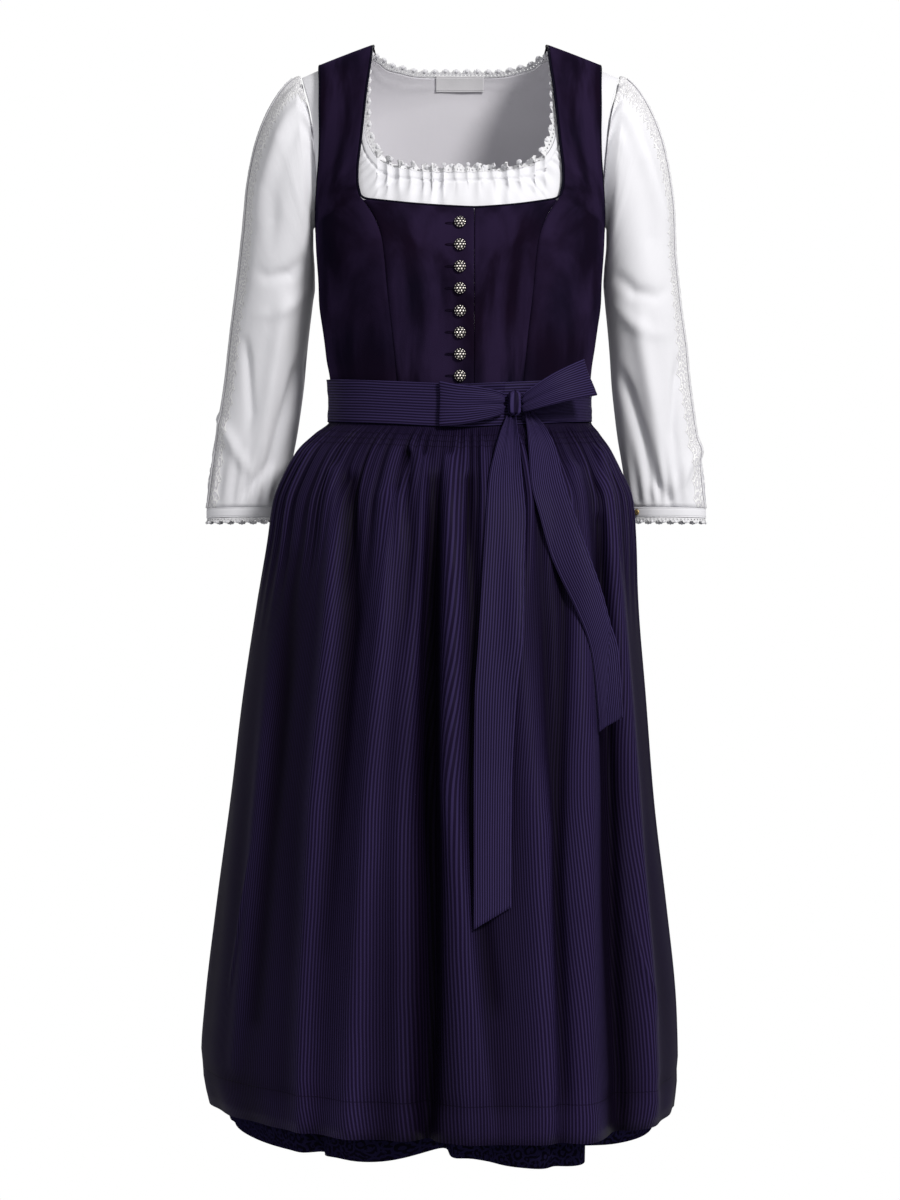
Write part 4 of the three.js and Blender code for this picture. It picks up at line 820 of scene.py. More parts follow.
def centre_back_relief(u, v, place):
    sewn = bell((1 - u) * 150, 3) * (np.abs(place[..., 0]) > 30) * (place[..., 2] < -135)
    return -1.0 * sewn + drag_lines(place[..., 0], place[..., 2])


sew("velvet_centre_back", centre_back, BODICE_WALL, (40, 150), ["bodice_centre_back"], VELVET,
    lambda u, v: (v * 420, -u * 300), centre_back_relief, cut=(0.34, 0.41))


def rim(panel, u, v):
    """The middle of a bodice wall's rim and its normal there."""
    u, v = np.broadcast_arrays(np.asarray(u, float), np.asarray(v, float))
    normal = facing(panel, u, v)
    return panel(u, v) + normal * sum(BODICE_WALL) / 2, normal


PIPING_RADIUS, PIPING_INSET = 1.3, 1.4


def piping(name, node_name, rims, centre, closed):
    """A thin cord along the rims, just off them on the side of the opening's centre."""
    path = np.concatenate([place for place, _ in rims])
    normal = np.concatenate([direction for _, direction in rims])
    gaps = np.linalg.norm(np.diff(path, axis=0), axis=-1)
    keep = np.concatenate([[True], gaps > 0.5])
    path, normal = path[keep], normal[keep]
    tangent = tangent_of(path, closed)
    inward = unit(np.cross(tangent, normal))
    inward = inward * np.sign((inward * (centre - path)).sum(-1))[:, None]
    line = path + inward * PIPING_INSET
    for _ in range(3 if closed else 0):
        line = (np.roll(line, 1, 0) + 2 * line + np.roll(line, -1, 0)) / 4
    piece = tube_object(name, line, unit(np.cross(inward, tangent)), PIPING_RADIUS, 10, closed)
    return dress(piece, [node_name], *PIPING)


neck_spans = np.linspace(1, CORNER + 1 / 24, 60)
across_top = np.linspace(0, 1, 30)
piping("neck_piping_cord", "bodice_neck_piping", [
    rim(bodice["right"][0], 0, neck_spans), rim(bodice["right"][1], across_top, 1),
    rim(bodice["left"][1], across_top[::-1], 1), rim(bodice["left"][0], 0, neck_spans[::-1]),
    rim(centre_back, 0, np.linspace(0.995, 0.005, 160)),
], np.array([0, -20, 40.0]), True)
for side, hand in ((-1, "right"), (1, "left")):
    side_front, _, side_back = bodice[hand]
    strap = np.linspace(0.85, 1, 40) if side > 0 else np.linspace(0.15, 0, 40)
    piping(f"armhole_piping_cord_{hand}", f"bodice_armhole_piping_{hand}", [
        rim(side_front, 1, np.linspace(1, CORNER, 80)), rim(side_back, 0, np.linspace(0.6, 1, 40)[1:]),
        rim(centre_back, 1, strap[1:]),
    ], np.array([side * 152, 5, -105.0]), False)

# ---------------------------------------------------------------- buttons


def domed_button(name, node_name, seat, towards, radius, height, cloth, petals):
    """A cast dome: a smooth profile turned round, with petals, a boss and a beaded rim standing on it."""
    around, rings = 48, 24
    s, turn = np.meshgrid(np.linspace(0, 1, rings + 1), np.linspace(0, 2 * np.pi, around + 1), indexing="ij")
    profile = np.array([(0, 0), (0.72, 0), (1, 0.3), (0.86, 0.66), (0.5, 0.93), (0, 1)])
    r = smooth_through(np.linspace(0, 1, 6), profile[:, 0], s)
    h = smooth_through(np.linspace(0, 1, 6), profile[:, 1], s)
    top = smooth_step(0.4, 0.55, s)
    petal = np.abs(np.cos(turn * petals / 2)) ** 2 * bell(r - 0.52, 0.17)
    beads = (0.5 + 0.5 * np.cos(turn * petals * 2)) * bell(r - 0.88, 0.09)
    boss = bell(r, 0.17) * 1.2
    relief = top * np.maximum(np.maximum(petal, beads), boss)
    h = h * height + relief * 0.13 * radius - top * 0.06 * radius
    r = r * radius * (1 - 1e-9)
    r[0], r[-1] = 0, 0
    towards = unit(np.array(towards, float))
    right = unit(np.cross([0.0, 0, 1], towards))
    up = np.cross(towards, right)
    place = np.array(seat) + (r * np.cos(turn))[..., None] * right
    place = place + (r * np.sin(turn))[..., None] * up + h[..., None] * towards
    index = np.arange((rings + 1) * (around + 1)).reshape(rings + 1, around + 1)
    piece = merged(make_object(name, place.reshape(-1, 3), quads_of(index), marks={"relief": relief}))
    return dress(piece, [node_name], *cloth)


def button_level(i):
    return mix(FIRST_BUTTON, LAST_BUTTON, i / (BUTTONS - 1))


for i in range(BUTTONS):
    angle, reach = form_place(np.array([-0.4]), button_level(i))
    here, above = torso(angle, reach)[0], torso(angle, reach - 1)[0]
    towards = unit(np.array([0, here[2] - above[2], above[1] - here[1]]))
    domed_button(f"silver_button_{i + 1}", f"bodice_button_{i + 1}", here + towards * 3.0, towards, 6.5, 4.5,
                 SILVER, 6)


def worked_slit(i):
    """A worked slit beside a button: a flat ring of cord, longer than high, on the lapped front."""
    turn = np.linspace(0, 2 * np.pi, 25)[:-1]
    place = form_place(-10.5 + 5.5 * np.cos(turn), button_level(i) + 0.9 * np.sin(turn))
    ring = torso(*place) + [0, -2.7, 0]
    return tube_object(f"slit_{i}", ring, np.tile([0.0, -1, 0], (24, 1)), 0.5, 6, True)


joined = bmesh.new()
for i in range(BUTTONS):
    slit = worked_slit(i)
    joined.from_mesh(slit.data)
    bpy.data.objects.remove(slit)
worked = bpy.data.objects.new("worked_buttonholes", bpy.data.meshes.new("worked_buttonholes"))
joined.to_mesh(worked.data)
joined.free()
bpy.context.scene.collection.objects.link(worked)
dress(worked, [], *VELVET)

# ---------------------------------------------------------------- blouse body

BLOUSE_TOP, BLOUSE_HEM, LACE_WIDTH = -137, -300, 10
BLOUSE_NECK_HALF = [(0, BLOUSE_TOP), (30, -136), (58, -132.5), (80, -121), (93, -94), (94.5, -58), (94.5, -24),
                    (94.5, RIDGE)]
BLOUSE_OUTLINE_HALF = [(0, BLOUSE_HEM), (80, BLOUSE_HEM), (SIDE, BLOUSE_HEM), (SIDE, -190), (158.5, -160),
                       (160, -122), (165, -72), (175, RIDGE)]
BLOUSE_BACK_NECK_HALF = [(0, -9), (26, -7.5), (50, -3.5), (70, 2), (82, 5), (88, 4.5), (92, 3), (94.5, RIDGE)]

# where a gather starts, how deep and wide it is there, and how far it runs
GATHERS = [(-84, 1.2, 4, 40), (-72, 1.6, 5, 60), (-60, 1.2, 4, 40), (-46, 1.6, 5, 62), (-35, 1.3, 4, 45),
           (-24, 2.1, 4, 70), (-12, 1.3, 4, 40), (2, 1.1, 3.5, 34), (14, 1.4, 4, 45), (29, 1.2, 4, 38),
           (44, 2.1, 4, 66), (58, 1.3, 4, 44), (74, 1.4, 5, 50), (86, 1.2, 4, 38)]


def gather_depth(x, z):
    """The gathers below the neck edge: bells across, widening and dying out down the front."""
    below = BLOUSE_TOP - LACE_WIDTH - z
    total = 0.0
    for at, depth, width, length in GATHERS:
        spread = 0.72 * width * (1 + np.maximum(0, below) / length)
        total = total + 3.4 * depth * bell(x - at, spread) * (1 - smooth_step(0, length, below))
    return total


def blouse_panel(neck, outline, on_back):
    """A blouse panel from the inner edge of the neck lace out to its outline, closer set near the neck. The
    lines across the back sag, so that they meet the underarm curve from inside it."""
    sag = (lambda u, v: -48 * np.sin(np.pi * u) * np.sin(2 * np.pi * v) ** 2) if on_back else None
    full = panel_between(neck, outline, sag)

    def start_of(v):
        return (LACE_WIDTH + SEAM_GAP) / np.linalg.norm(full(0 * v, v) - full(0 * v + 1, v), axis=-1)

    def surface(u, v):
        place = full(mix(start_of(v), 1, u ** 1.5), v)
        if not on_back:
            place[..., 1] += gather_depth(place[..., 0], place[..., 2])
        return place

    return surface


blouse_front = blouse_panel(across_centre(edge(BLOUSE_NECK_HALF)),
                            across_centre(edge(BLOUSE_OUTLINE_HALF)), False)
blouse_back = blouse_panel(across_centre(edge(BLOUSE_BACK_NECK_HALF, on_back=True)),
                           across_centre(edge(BLOUSE_OUTLINE_HALF, on_back=True)), True)


def blouse_relief(u, v, place):
    """A seam below the neck casing, fine puckers that leave it, and a soft unevenness."""
    casing = -1.3 * bell(u - 0.13, 0.014) + 0.5 * smooth_step(0.14, 0.11, u)
    puckers = 1.0 * np.sin(v * 300 + 2 * np.sin(v * 41)) * bell(u - 0.16, 0.12) * smooth_step(0.1, 0.17, u)
    return casing + puckers + 0.5 * np.sin(place[..., 0] / 14 + place[..., 2] / 23)


sew("white_blouse_front", blouse_front, BLOUSE_WALL, (70, 260), ["blouse_front"], COTTON,
    lambda u, v: (v * 560, u * 170), blouse_relief, cut=(0.60, 0.32))
# The back wears the greyer cotton, whose tone is painted shade.
sew("white_blouse_back", blouse_back, BLOUSE_WALL, (50, 200), ["blouse_back"], SHADED_BACK_COTTON,
    lambda u, v: (v * 620, u * 280),
    lambda u, v, p: -0.5 * bell(u - 0.1, 0.01) + 0.4 * np.sin(p[..., 0] / 17),
    cut=(0.60, 0.37))


def panel_rim(surface, wall, u, v, u_in, v_in, outward=from_axis, closed=False):
    """The middle of a wall's rim, its normal, and the direction that leaves the cloth there."""
    middle = (wall[0] + wall[1]) / 2
    normal = facing(surface, u, v, outward, closed)
    place = surface(u, v) + normal * middle
    inside = surface(u_in, v_in) + facing(surface, u_in, v_in, outward, closed) * middle
    return place, normal, unit(place - inside)


MOTIF_COLUMNS, LACE_HALF_WALL = 16, 0.35


def lace_edging(name, node_name, frames, width, picot, pitch, cloth, cut, bobble):
    """A lace band that leaves a closed rim. Its free edge swings out in a round picot for each pitch, with two
    small scallops between, and each picot ends in a bobble."""
    place, normal, leaving = frames
    place, normal, leaving = (np.concatenate([part, part[:1]]) for part in (place, normal, leaving))
    length = run_length(place)
    count = int(round(length[-1] / pitch))
    u, v = grid(count * MOTIF_COLUMNS, 6)
    at = u[0] * length[-1]
    place, normal, leaving = (np.stack([np.interp(at, length, part[:, k]) for k in range(3)], -1)
                              for part in (place, normal, leaving))
    normal, leaving = unit(normal), unit(leaving)
    beat = u[0] * count
    round_picot = smooth_step(0.25, 0.75, np.abs(np.cos(np.pi * beat)))
    scallop = 0.35 * np.abs(np.sin(3 * np.pi * beat))
    reach = width - picot + picot * np.maximum(round_picot, scallop)
    out = 0.4 + v * (reach[None] - 0.4)
    lift = 0.35 * np.sin(2 * np.pi * beat * 3)[None] * v + 0.5 * v * v
    sheet = place[None] + leaving[None] * out[..., None] + normal[None] * lift[..., None]
    flat = points(np.broadcast_to(at[None] * pitch * count / length[-1], out.shape), out, 0)[..., :2]
    thick = normal[None] * LACE_HALF_WALL
    band = wall_object(name, sheet - thick, sheet + thick, flat, closed=True)
    dress(band, [node_name], *cloth)
    min(area_of(sheet), cut[0] * cut[1])
    step = np.arange(count) * MOTIF_COLUMNS
    centres = place[step] + leaving[step] * (width - bobble * 0.6) + normal[step] * 0.6
    rings, around = 6, 9
    steep, turn = np.meshgrid(np.linspace(0, np.pi, rings), np.linspace(0, 2 * np.pi, around), indexing="ij")
    balls = centres[:, None, None] + sphere(turn, steep)[None] * bobble * [1, 0.6, 1]
    index = np.arange(rings * around).reshape(rings, around)
    faces = (quads_of(index)[None] + np.arange(count)[:, None, None] * index.size).reshape(-1, 4)
    bobbles = merged(make_object(name + "_bobbles", balls.reshape(-1, 3), faces))
    bobbles.data.uv_layers.new(name="lie")
    return dress(bobbles, [], *COTTON)


stations = np.linspace(0, 1, 400)
zero, inset = 0 * stations, 0 * stations + 0.05
front_rim = panel_rim(blouse_front, BLOUSE_WALL, zero, stations, inset, stations)
back_rim = panel_rim(blouse_back, BLOUSE_WALL, zero, stations[::-1], inset, stations[::-1])
neck_rim = [np.concatenate([a, b]) for a, b in zip(front_rim, back_rim)]
lace_edging("neck_lace_band", "blouse_neck_lace", neck_rim, LACE_WIDTH, 3, 13, NECK_LACE_CLOTH, (0.66, 0.010),
            2.4)

LABEL_WIDTH, LABEL_TOP, LABEL_BOTTOM, LABEL_GAP = 54, -17.0, -33.0, 2.5


def label_surface(u, v):
    """The bare label hangs just inside the blouse back."""
    angle, reach = form_place(mix(-LABEL_WIDTH / 2, LABEL_WIDTH / 2, u), mix(LABEL_BOTTOM, LABEL_TOP, v), True)
    return torso(angle, reach) + [0, BLOUSE_WALL[0] - LABEL_GAP, 0]


sew("bare_label", label_surface, (-0.4, 0.4), (40, 14), ["blouse_label"], LABEL_SATIN,
    lambda u, v: (u * LABEL_WIDTH, v * (LABEL_TOP - LABEL_BOTTOM)), lambda u, v, p: 0.25 * np.sin(u * 9),
    cut=(0.054, 0.016), outward=to_back, shaped=False)

# ---------------------------------------------------------------- sleeves

# ring, outer x and z, inner x and z, middle y, half depth
sleeve_at = table([
    [0, 175, -28, 157, -191, 5, 46], [0.4, 181, -31, 162.5, -197, 7, 49], [1, 192, -39, 162.5, -214, 9, 51],
    [2, 210, -64, 162, -227, 14, 54], [3, 226, -104, 161.5, -238, 19, 54], [4, 236, -153, 161.5, -252, 25, 53],
    [5, 241.5, -198, 164, -275, 30, 50], [6, 246, -237, 168, -305, 35, 47], [7, 251, -276, 171.5, -335, 40, 44],
    [8, 256, -314, 174.5, -365, 45, 41], [9, 262, -363, 179, -397, 50, 38], [10, 269, -405, 184, -427, 54, 35],
    [11, 276.5, -448, 192, -465, 58, 32], [12, 283.5, -502, 198.5, -501, 61, 30],
])


LAST_RING = 12
LEFT_CUFF_CLOSER = 8


def sleeve_ring(side, ring, u):
    """A ring of the sleeve: an ellipse from its outer side over the front to its inner side and back."""
    outer_x, outer_z, inner_x, inner_z, middle, depth = sleeve_at(ring)
    closer = LEFT_CUFF_CLOSER * (ring / LAST_RING) ** 1.5 if side > 0 else 0
    turn = u * 2 * np.pi
    outer = (1 + np.cos(turn)) / 2
    return points(side * (mix(inner_x, outer_x, outer) - closer), middle - depth * np.sin(turn),
                  mix(inner_z, outer_z, outer))


def armhole_point(side, u):
    """Just outside the blouse's armhole, which is the last 8 of the 14 steps of each side of its outline."""
    turn = u % 1
    from_tip = np.where(turn > 0.5, (1 - turn) * 2, turn * 2)
    station = 14 - from_tip * 8
    v = (14 + side * station) / 28
    one, less = 0 * v + 1, 0 * v + 0.95
    ends = []
    for panel in (blouse_front, blouse_back):
        place, _, leaving = panel_rim(panel, BLOUSE_WALL, one, v, less, v)
        ends.append(place + leaving * 1.5 + [side * 1.8, 0, 0])
    return np.where((turn > 0.5)[..., None], ends[1], ends[0])


def sleeve_surface(side):
    """The sleeve from the armhole's edge, which it leaves within half a ring, to the cuff."""
    stops = np.linspace(0, 1, 513)
    armhole_rim = armhole_point(side, stops)

    def surface(u, v):
        ring = LAST_RING * np.clip(v, 0, 1) ** 1.3
        settled = smooth_step(0, 0.42, ring)[..., None]
        armhole = np.stack([np.interp(u % 1, stops, armhole_rim[:, k]) for k in range(3)], -1)
        return mix(armhole, sleeve_ring(side, ring, u), settled)

    return surface


def from_sleeve(side):
    return lambda place: (place - [side * 215, 30, 0]) * [1, 1, 0]


# folds of the sleeve as lines of (x, z, strength), with their width and rise, drawn on the wearer's right
SLEEVE_FOLDS = [
    ([(-180, -60, 0.3), (-196, -105, 1), (-216, -161, 0.6), (-224, -200, 0)], 9, 3.4),
    ([(-193, -262, 0), (-193, -290, 0.8), (-207, -363, 1), (-219, -434, 0.7), (-228, -470, 0)], 9, 3.2),
    ([(-172, -330, 0.2), (-181, -354, 1), (-198, -407, 1), (-210, -451, 0.8), (-237, -486, 0.3)], 6, -3.2),
    ([(-268, -400, 0), (-258, -421, 1), (-242, -451, 0.8), (-226, -474, 0)], 6, 2.6),
    ([(-238, -310, 0), (-235, -337, 1), (-231, -398, 0.8), (-236, -430, 0)], 5, -2.4),
    ([(-170, -232, 0.4), (-186, -248, 1), (-210, -252, 0.5), (-228, -240, 0)], 7, -2.6),
    ([(-168, -262, 0.3), (-184, -280, 0.9), (-206, -292, 0.4), (-232, -292, 0)], 7, 2.2),
    ([(-232, -150, 0), (-234, -200, 0.8), (-240, -262, 0.6), (-246, -300, 0)], 7, -1.8),
    ([(-200, -140, 0), (-204, -190, 0.8), (-206, -230, 0)], 8, -2.0),
]


CAP_GATHERS, CUFF_GATHERS = 18, 19


def sleeve_relief(lean):
    """Gathers at the cap and cuff, which die out down and up the sleeve, and the long folds between them."""
    def relief(u, v, place):
        upper = smooth_step(-0.2, 0.7, np.cos(2 * np.pi * u))
        cap = 2.2 * np.cos(2 * np.pi * u * CAP_GATHERS + 1.5 * np.sin(u * 19))
        cap = cap * bell(v - 0.06, 0.11) * smooth_step(0, 0.05, v)
        cuff = 1.3 * np.cos(2 * np.pi * u * CUFF_GATHERS + 2 * np.sin(u * 23)) * smooth_step(0.86, 0.985, v)
        total = cap * upper + cuff * smooth_step(1.0, 0.985, v)
        drawn_x = -np.abs(place[..., 0]) + lean
        drawn_z = place[..., 2] + 4 * lean
        sway = np.where(np.sin(2 * np.pi * u) < 0, 9.0, 0.0)
        for line, width, rise in SLEEVE_FOLDS:
            total = total + fold(drawn_x + sway, drawn_z - 2 * sway, line, width, 1.9 * rise)
        return total

    return relief


STRIP_WIDTH, STRIP_LENGTH, FLOWER_PITCH = 13, 480, 12


def embroidered(u, v):
    """Raised thread: a flower of five petals and a curl on a winding stem for each 12 mm, between two cords."""
    across, beat = (u - 0.5) * STRIP_WIDTH, v * STRIP_LENGTH / FLOWER_PITCH
    stem = bell(across - 2.6 * np.sin(np.pi * beat), 0.7)
    local = (beat % 1 - 0.5) * FLOWER_PITCH
    flower_x = 1.8 * np.where(np.floor(beat) % 2 > 0, -1, 1)
    far, turn = np.hypot(across - flower_x, local), np.arctan2(local, across - flower_x)
    petals = smooth_step(3.6, 2.6, far / (0.78 + 0.22 * np.cos(5 * turn))) * smooth_step(0.5, 1.0, far)
    curl = bell(np.hypot(across + flower_x * 1.6, local - 4) - 1.5, 0.5)
    cords = bell(np.abs(across) - 5.9, 0.55)
    return np.clip(np.maximum.reduce([stem, petals, curl, cords]), 0, 1)


SLEEVE_WALL, CUFF_WALL, CUFF_HEIGHT = (-0.6, 0.6), (-0.6, 1.0), 11
for side, hand in ((-1, "right"), (1, "left")):
    outward = from_sleeve(side)
    surface = sleeve_surface(side)
    relief = sleeve_relief(0 if side < 0 else 5)
    sew(f"white_sleeve_{hand}", surface, SLEEVE_WALL, (112, 150), [f"sleeve_{hand}"], SLEEVE_COTTON,
        lambda u, v: (u * 300, v * 500), relief, True, outward, (0.34, 0.53))

    def strip_surface(u, v, surface=surface, relief=relief, outward=outward):
        across, down = mix(0.15, 0.8, u) / 16, mix(1 / LAST_RING, 1, v)
        place = surface(across, down)
        rise = np.asarray(relief(across, down, place))[..., None]
        return place + facing(surface, across, down, outward, True) * rise

    sew(f"embroidered_strip_{hand}", strip_surface, (0.7, 1.3), (16, 440), [f"sleeve_lace_{hand}"], EMBROIDERY,
        lambda u, v: (u * STRIP_WIDTH, v * STRIP_LENGTH), lambda u, v, p: 1.1 * embroidered(u, v),
        outward=outward, cut=(0.013, 0.49), shaped=False,
        marks={"thread": embroidered})

    def cuff_surface(u, v, side=side):
        drop = SEAM_GAP + v * CUFF_HEIGHT
        return sleeve_ring(side, LAST_RING + 0.0 * u, u) - np.multiply.outer(drop, [0, 0, 1.0])

    sew(f"white_cuff_{hand}", cuff_surface, CUFF_WALL, (80, 8), [f"cuff_{hand}"], CUFF_COTTON,
        lambda u, v: (u * 240, v * CUFF_HEIGHT),
        lambda u, v, p: 0.25 * np.sin(u * 44) - 0.4 * bell(v - 0.1, 0.05), True,
        outward, (0.245, 0.011), shaped=False)
    turns = np.linspace(0, 1, 240, endpoint=False)
    cuff_rim = panel_rim(cuff_surface, CUFF_WALL, turns, 0 * turns + 1, turns, 0 * turns + 0.95, outward, True)
    lace_edging(f"cuff_lace_band_{hand}", f"cuff_lace_{hand}", cuff_rim, 6, 3, 12.6, CUFF_LACE_CLOTH,
                (0.24, 0.010), 1.7)
    spot_u, spot_v = np.array([0.397]), np.array([0.5])
    towards = facing(cuff_surface, spot_u, spot_v, outward, True)[0]
    domed_button(f"gold_cuff_button_{hand}", f"cuff_button_{hand}",
                 cuff_surface(spot_u, spot_v)[0] + towards * 1.9, towards, 3.6, 2.6, GOLD, 6)

# ---------------------------------------------------------------- drape of the skirt and apron

# level, right and left half widths, front on the right and left, back, squareness
drape_at = table([
    [-363, 143, 143, 98.6, 98.6, 90, 0.87], [-385, 141, 141, 97.8, 97.8, 88.8, 0.87],
    [-409, 141.8, 141.8, 98.5, 98.5, 89.8, 0.87], [-425, 157, 149, 112, 112, 110, 0.87],
    [-440, 171, 158, 121, 122, 125, 0.88], [-467, 187, 172, 139, 141, 142, 0.89],
    [-495, 199, 184, 153, 156, 155, 0.9], [-539, 207, 189, 166, 170, 168, 0.91],
    [-605, 220, 193, 178, 187, 181, 0.92], [-715, 237, 204, 191, 214, 202, 0.93],
    [-825, 250, 215, 204, 236, 220, 0.94], [-935, 264, 227, 216, 256, 236, 0.95],
    [-1045, 277, 236, 227, 274, 249, 0.95], [-1100, 281, 237, 232, 283, 253, 0.95],
    [-1135, 276, 235, 234, 288, 255, 0.95], [-1174, 263, 229, 234, 290, 255, 0.95],
])
RIDGE_LEVELS = [-470, -605, -810, -1012, -1147]
# x at each ridge level, width and rise; a dip has a negative rise
DRAPE_RIDGES = [
    ([-134, -134, -146, -157, -160], 17, 8), ([-71, -78, -91, -103, -111], 24, 10),
    ([-44, -56, -60, -59, -55], 13, 6), ([-24, -30, -32, -34, -38], 16, -20), ([-13, -9, -10, 2, 12], 16, 8),
    ([46, 56, 72, 79, 84], 18, 9), ([84, 86, 92, 96, 98], 9, -6), ([108, 116, 118, 116, 122], 21, 12),
    ([139, 146, 152, 160, 166], 14, -12), ([152, 160, 172, 186, 192], 13, 9),
]
# x, width, depth and the level that it grows from
SKIRT_FOLDS = [(-158, 9, 20, -900), (-52, 23, 72, -700), (6, 34, 44, -760), (178, 30, 52, -640)]
DRAPE_LEVELS = [-425, -445, -480, -539, -640, -800, -980]
BAND_TOP, BAND_BOTTOM, APRON_HEM = -363, -409, -1147
SKIRT_LEVELS = [WAIST_SEAM, BAND_BOTTOM, *DRAPE_LEVELS, SKIRT_HEM]
BACK_FOLDS = 6


def fall_of(level):
    return (level - WAIST_SEAM) / (SKIRT_HEM - WAIST_SEAM)


def base_point(angle, level):
    """A point of the plain drape: a squarish section with its own half width on each side."""
    turn = np.radians(angle)
    across, ahead = np.sin(turn), np.cos(turn)
    right, left, front_right, front_left, back, square = drape_at(level)
    half = np.where(across < 0, right, left)
    depth = np.where(ahead > 0, mix(front_right, front_left, smooth_step(-1, 1, across)), back)
    return points(half * signed_power(across, square), -depth * signed_power(ahead, square),
                  level + front_drop(angle) * (1 - np.maximum(0, fall_of(level))))


def section_normal(angle, level):
    along = base_point(angle + 0.4, level) - base_point(angle - 0.4, level)
    return unit(points(along[..., 1], -along[..., 0], 0))


def drape_point(angle, level, outwards):
    return base_point(angle, level) + section_normal(angle, level) * np.asarray(outwards)[..., None]


def in_front(angle):
    """From 0 behind the side seams to 1 before them."""
    return smooth_step(-100, -80, angle) * (1 - smooth_step(80, 100, angle))


def ridge_rise(angle, level):
    """The long ridges and dips down the front: bells across lines of x, which grow and widen downwards."""
    x, fall = base_point(angle, level)[..., 0], np.maximum(0, fall_of(level))
    total = 0.0
    for at, width, rise in DRAPE_RIDGES:
        total = total + rise * bell(x - smooth_through(RIDGE_LEVELS, at, level), width * (0.6 + 0.4 * fall))
    return total * smooth_step(0.03, 0.5, fall) ** 0.7 * in_front(angle)


def skirt_fold_depth(angle, level):
    """How far the skirt lies inside its outer form: deep front folds, and organ-pipe folds round the back."""
    x, fall = base_point(angle, level)[..., 0], np.maximum(0, fall_of(level))
    front = 0.0
    for at, width, depth, start in SKIRT_FOLDS:
        front = front + depth * bell(x - at, width) * smooth_step(start, SKIRT_HEM + 60, level)
    depth = mix(3, 27, fall) * smooth_step(0, 0.06, fall)
    around = ((angle + 360) % 360 - 100) / 80
    wave = 0.5 - 0.5 * np.cos(around * 2 * np.pi * BACK_FOLDS)
    uneven = 0.78 + 0.22 * np.sin(around * 9.1 + 1.3 * np.sin(around * 4.7))
    return front * in_front(angle) + depth * wave * uneven * (1 - in_front(angle))


def skirt_panel(start, end):
    """A skirt panel between two angles, drawn in where the apron lies over it."""
    def surface(u, v):
        angle, level = mix(start, end, u), along_levels(SKIRT_LEVELS, v)
        inside = 10 * smooth_step(BAND_BOTTOM - 30, APRON_HEM, level) ** 0.5
        inside = (inside + 5 * smooth_step(-412, -430, level)) * in_front(angle)
        return drape_point(angle, level, ridge_rise(angle, level) - skirt_fold_depth(angle, level) - inside)

    return surface


def skirt_relief(u, v, place):
    """Small gathers below the waist seam, a soft waviness, and a dip above the turned hem."""
    gathers = 1.2 * np.sin(u * 240 + 2 * np.sin(u * 31)) * bell(v - 0.16, 0.13) * smooth_step(0.08, 0.14, v)
    soft = 1.6 * np.sin(place[..., 0] / 19 + 2 * np.sin(place[..., 2] / 160)) * smooth_step(0.3, 0.8, v)
    return gathers + soft - 0.8 * bell(v - 0.965, 0.006)


# start and end angle, columns, flat width in metres
SKIRT_PANELS = {"skirt_front": (-99.98, 99.98, 220, 0.86), "skirt_back_left": (100.02, 179.98, 110, 0.44),
                "skirt_back_right": (180.02, 259.98, 110, 0.44)}
for node_name, (start, end, columns, width) in SKIRT_PANELS.items():
    sew("brocade_" + node_name, skirt_panel(start, end), (-1.5, 0), (columns, 90), [node_name], BROCADE,
        lambda u, v, w=width: (u * w * 1000, WAIST_SEAM - along_levels(SKIRT_LEVELS, v)), skirt_relief,
        cut=(width, 0.80), shaped=False)

# ---------------------------------------------------------------- apron

apron_left_edge = table([[-409, 84], [-600, 80], [-825, 73], [-1147, 77]])
GATHER_COUNT, PUCKER_COUNT = 26, 61
APRON_WIDTH = 860


def apron_fall(level):
    return (level - BAND_BOTTOM) / (APRON_HEM - BAND_BOTTOM)


def gather_rise(u, level):
    """The gathers spread below the shirring, each a little unlike the next, and fade down the apron."""
    fall = apron_fall(level)
    uneven = 0.7 + 0.3 * np.sin(u * 37 + 2 * np.sin(u * 11))
    wave = 0.5 + 0.5 * np.cos(2 * np.pi * GATHER_COUNT * u)
    return 6.4 * uneven * wave ** 1.3 * smooth_step(0.005, 0.05, fall) * (1 - smooth_step(0.05, 0.34, fall))


def fine_gathers(u, level):
    """Finer puckers between the gathers, held flat on the shirring rows."""
    fall = apron_fall(level)
    wave = np.sin(2 * np.pi * PUCKER_COUNT * u + 3 * np.sin(u * 23)) * (0.6 + 0.4 * np.sin(u * 71))
    return 2.1 * wave * smooth_step(0, 0.02, fall) * (1 - smooth_step(0.05, 0.28, fall))


def apron_angle(u, level):
    return mix(-97, apron_left_edge(level)[0], u)


def apron_level(v):
    return along_levels([BAND_BOTTOM - 0.8, *DRAPE_LEVELS, APRON_HEM], v)


def apron_surface(u, v):
    """The apron lies over the skirt's ridges, with its own gathers standing on them."""
    level = apron_level(v)
    angle = apron_angle(u, level)
    return drape_point(angle, level, ridge_rise(angle, level) + gather_rise(u, level))


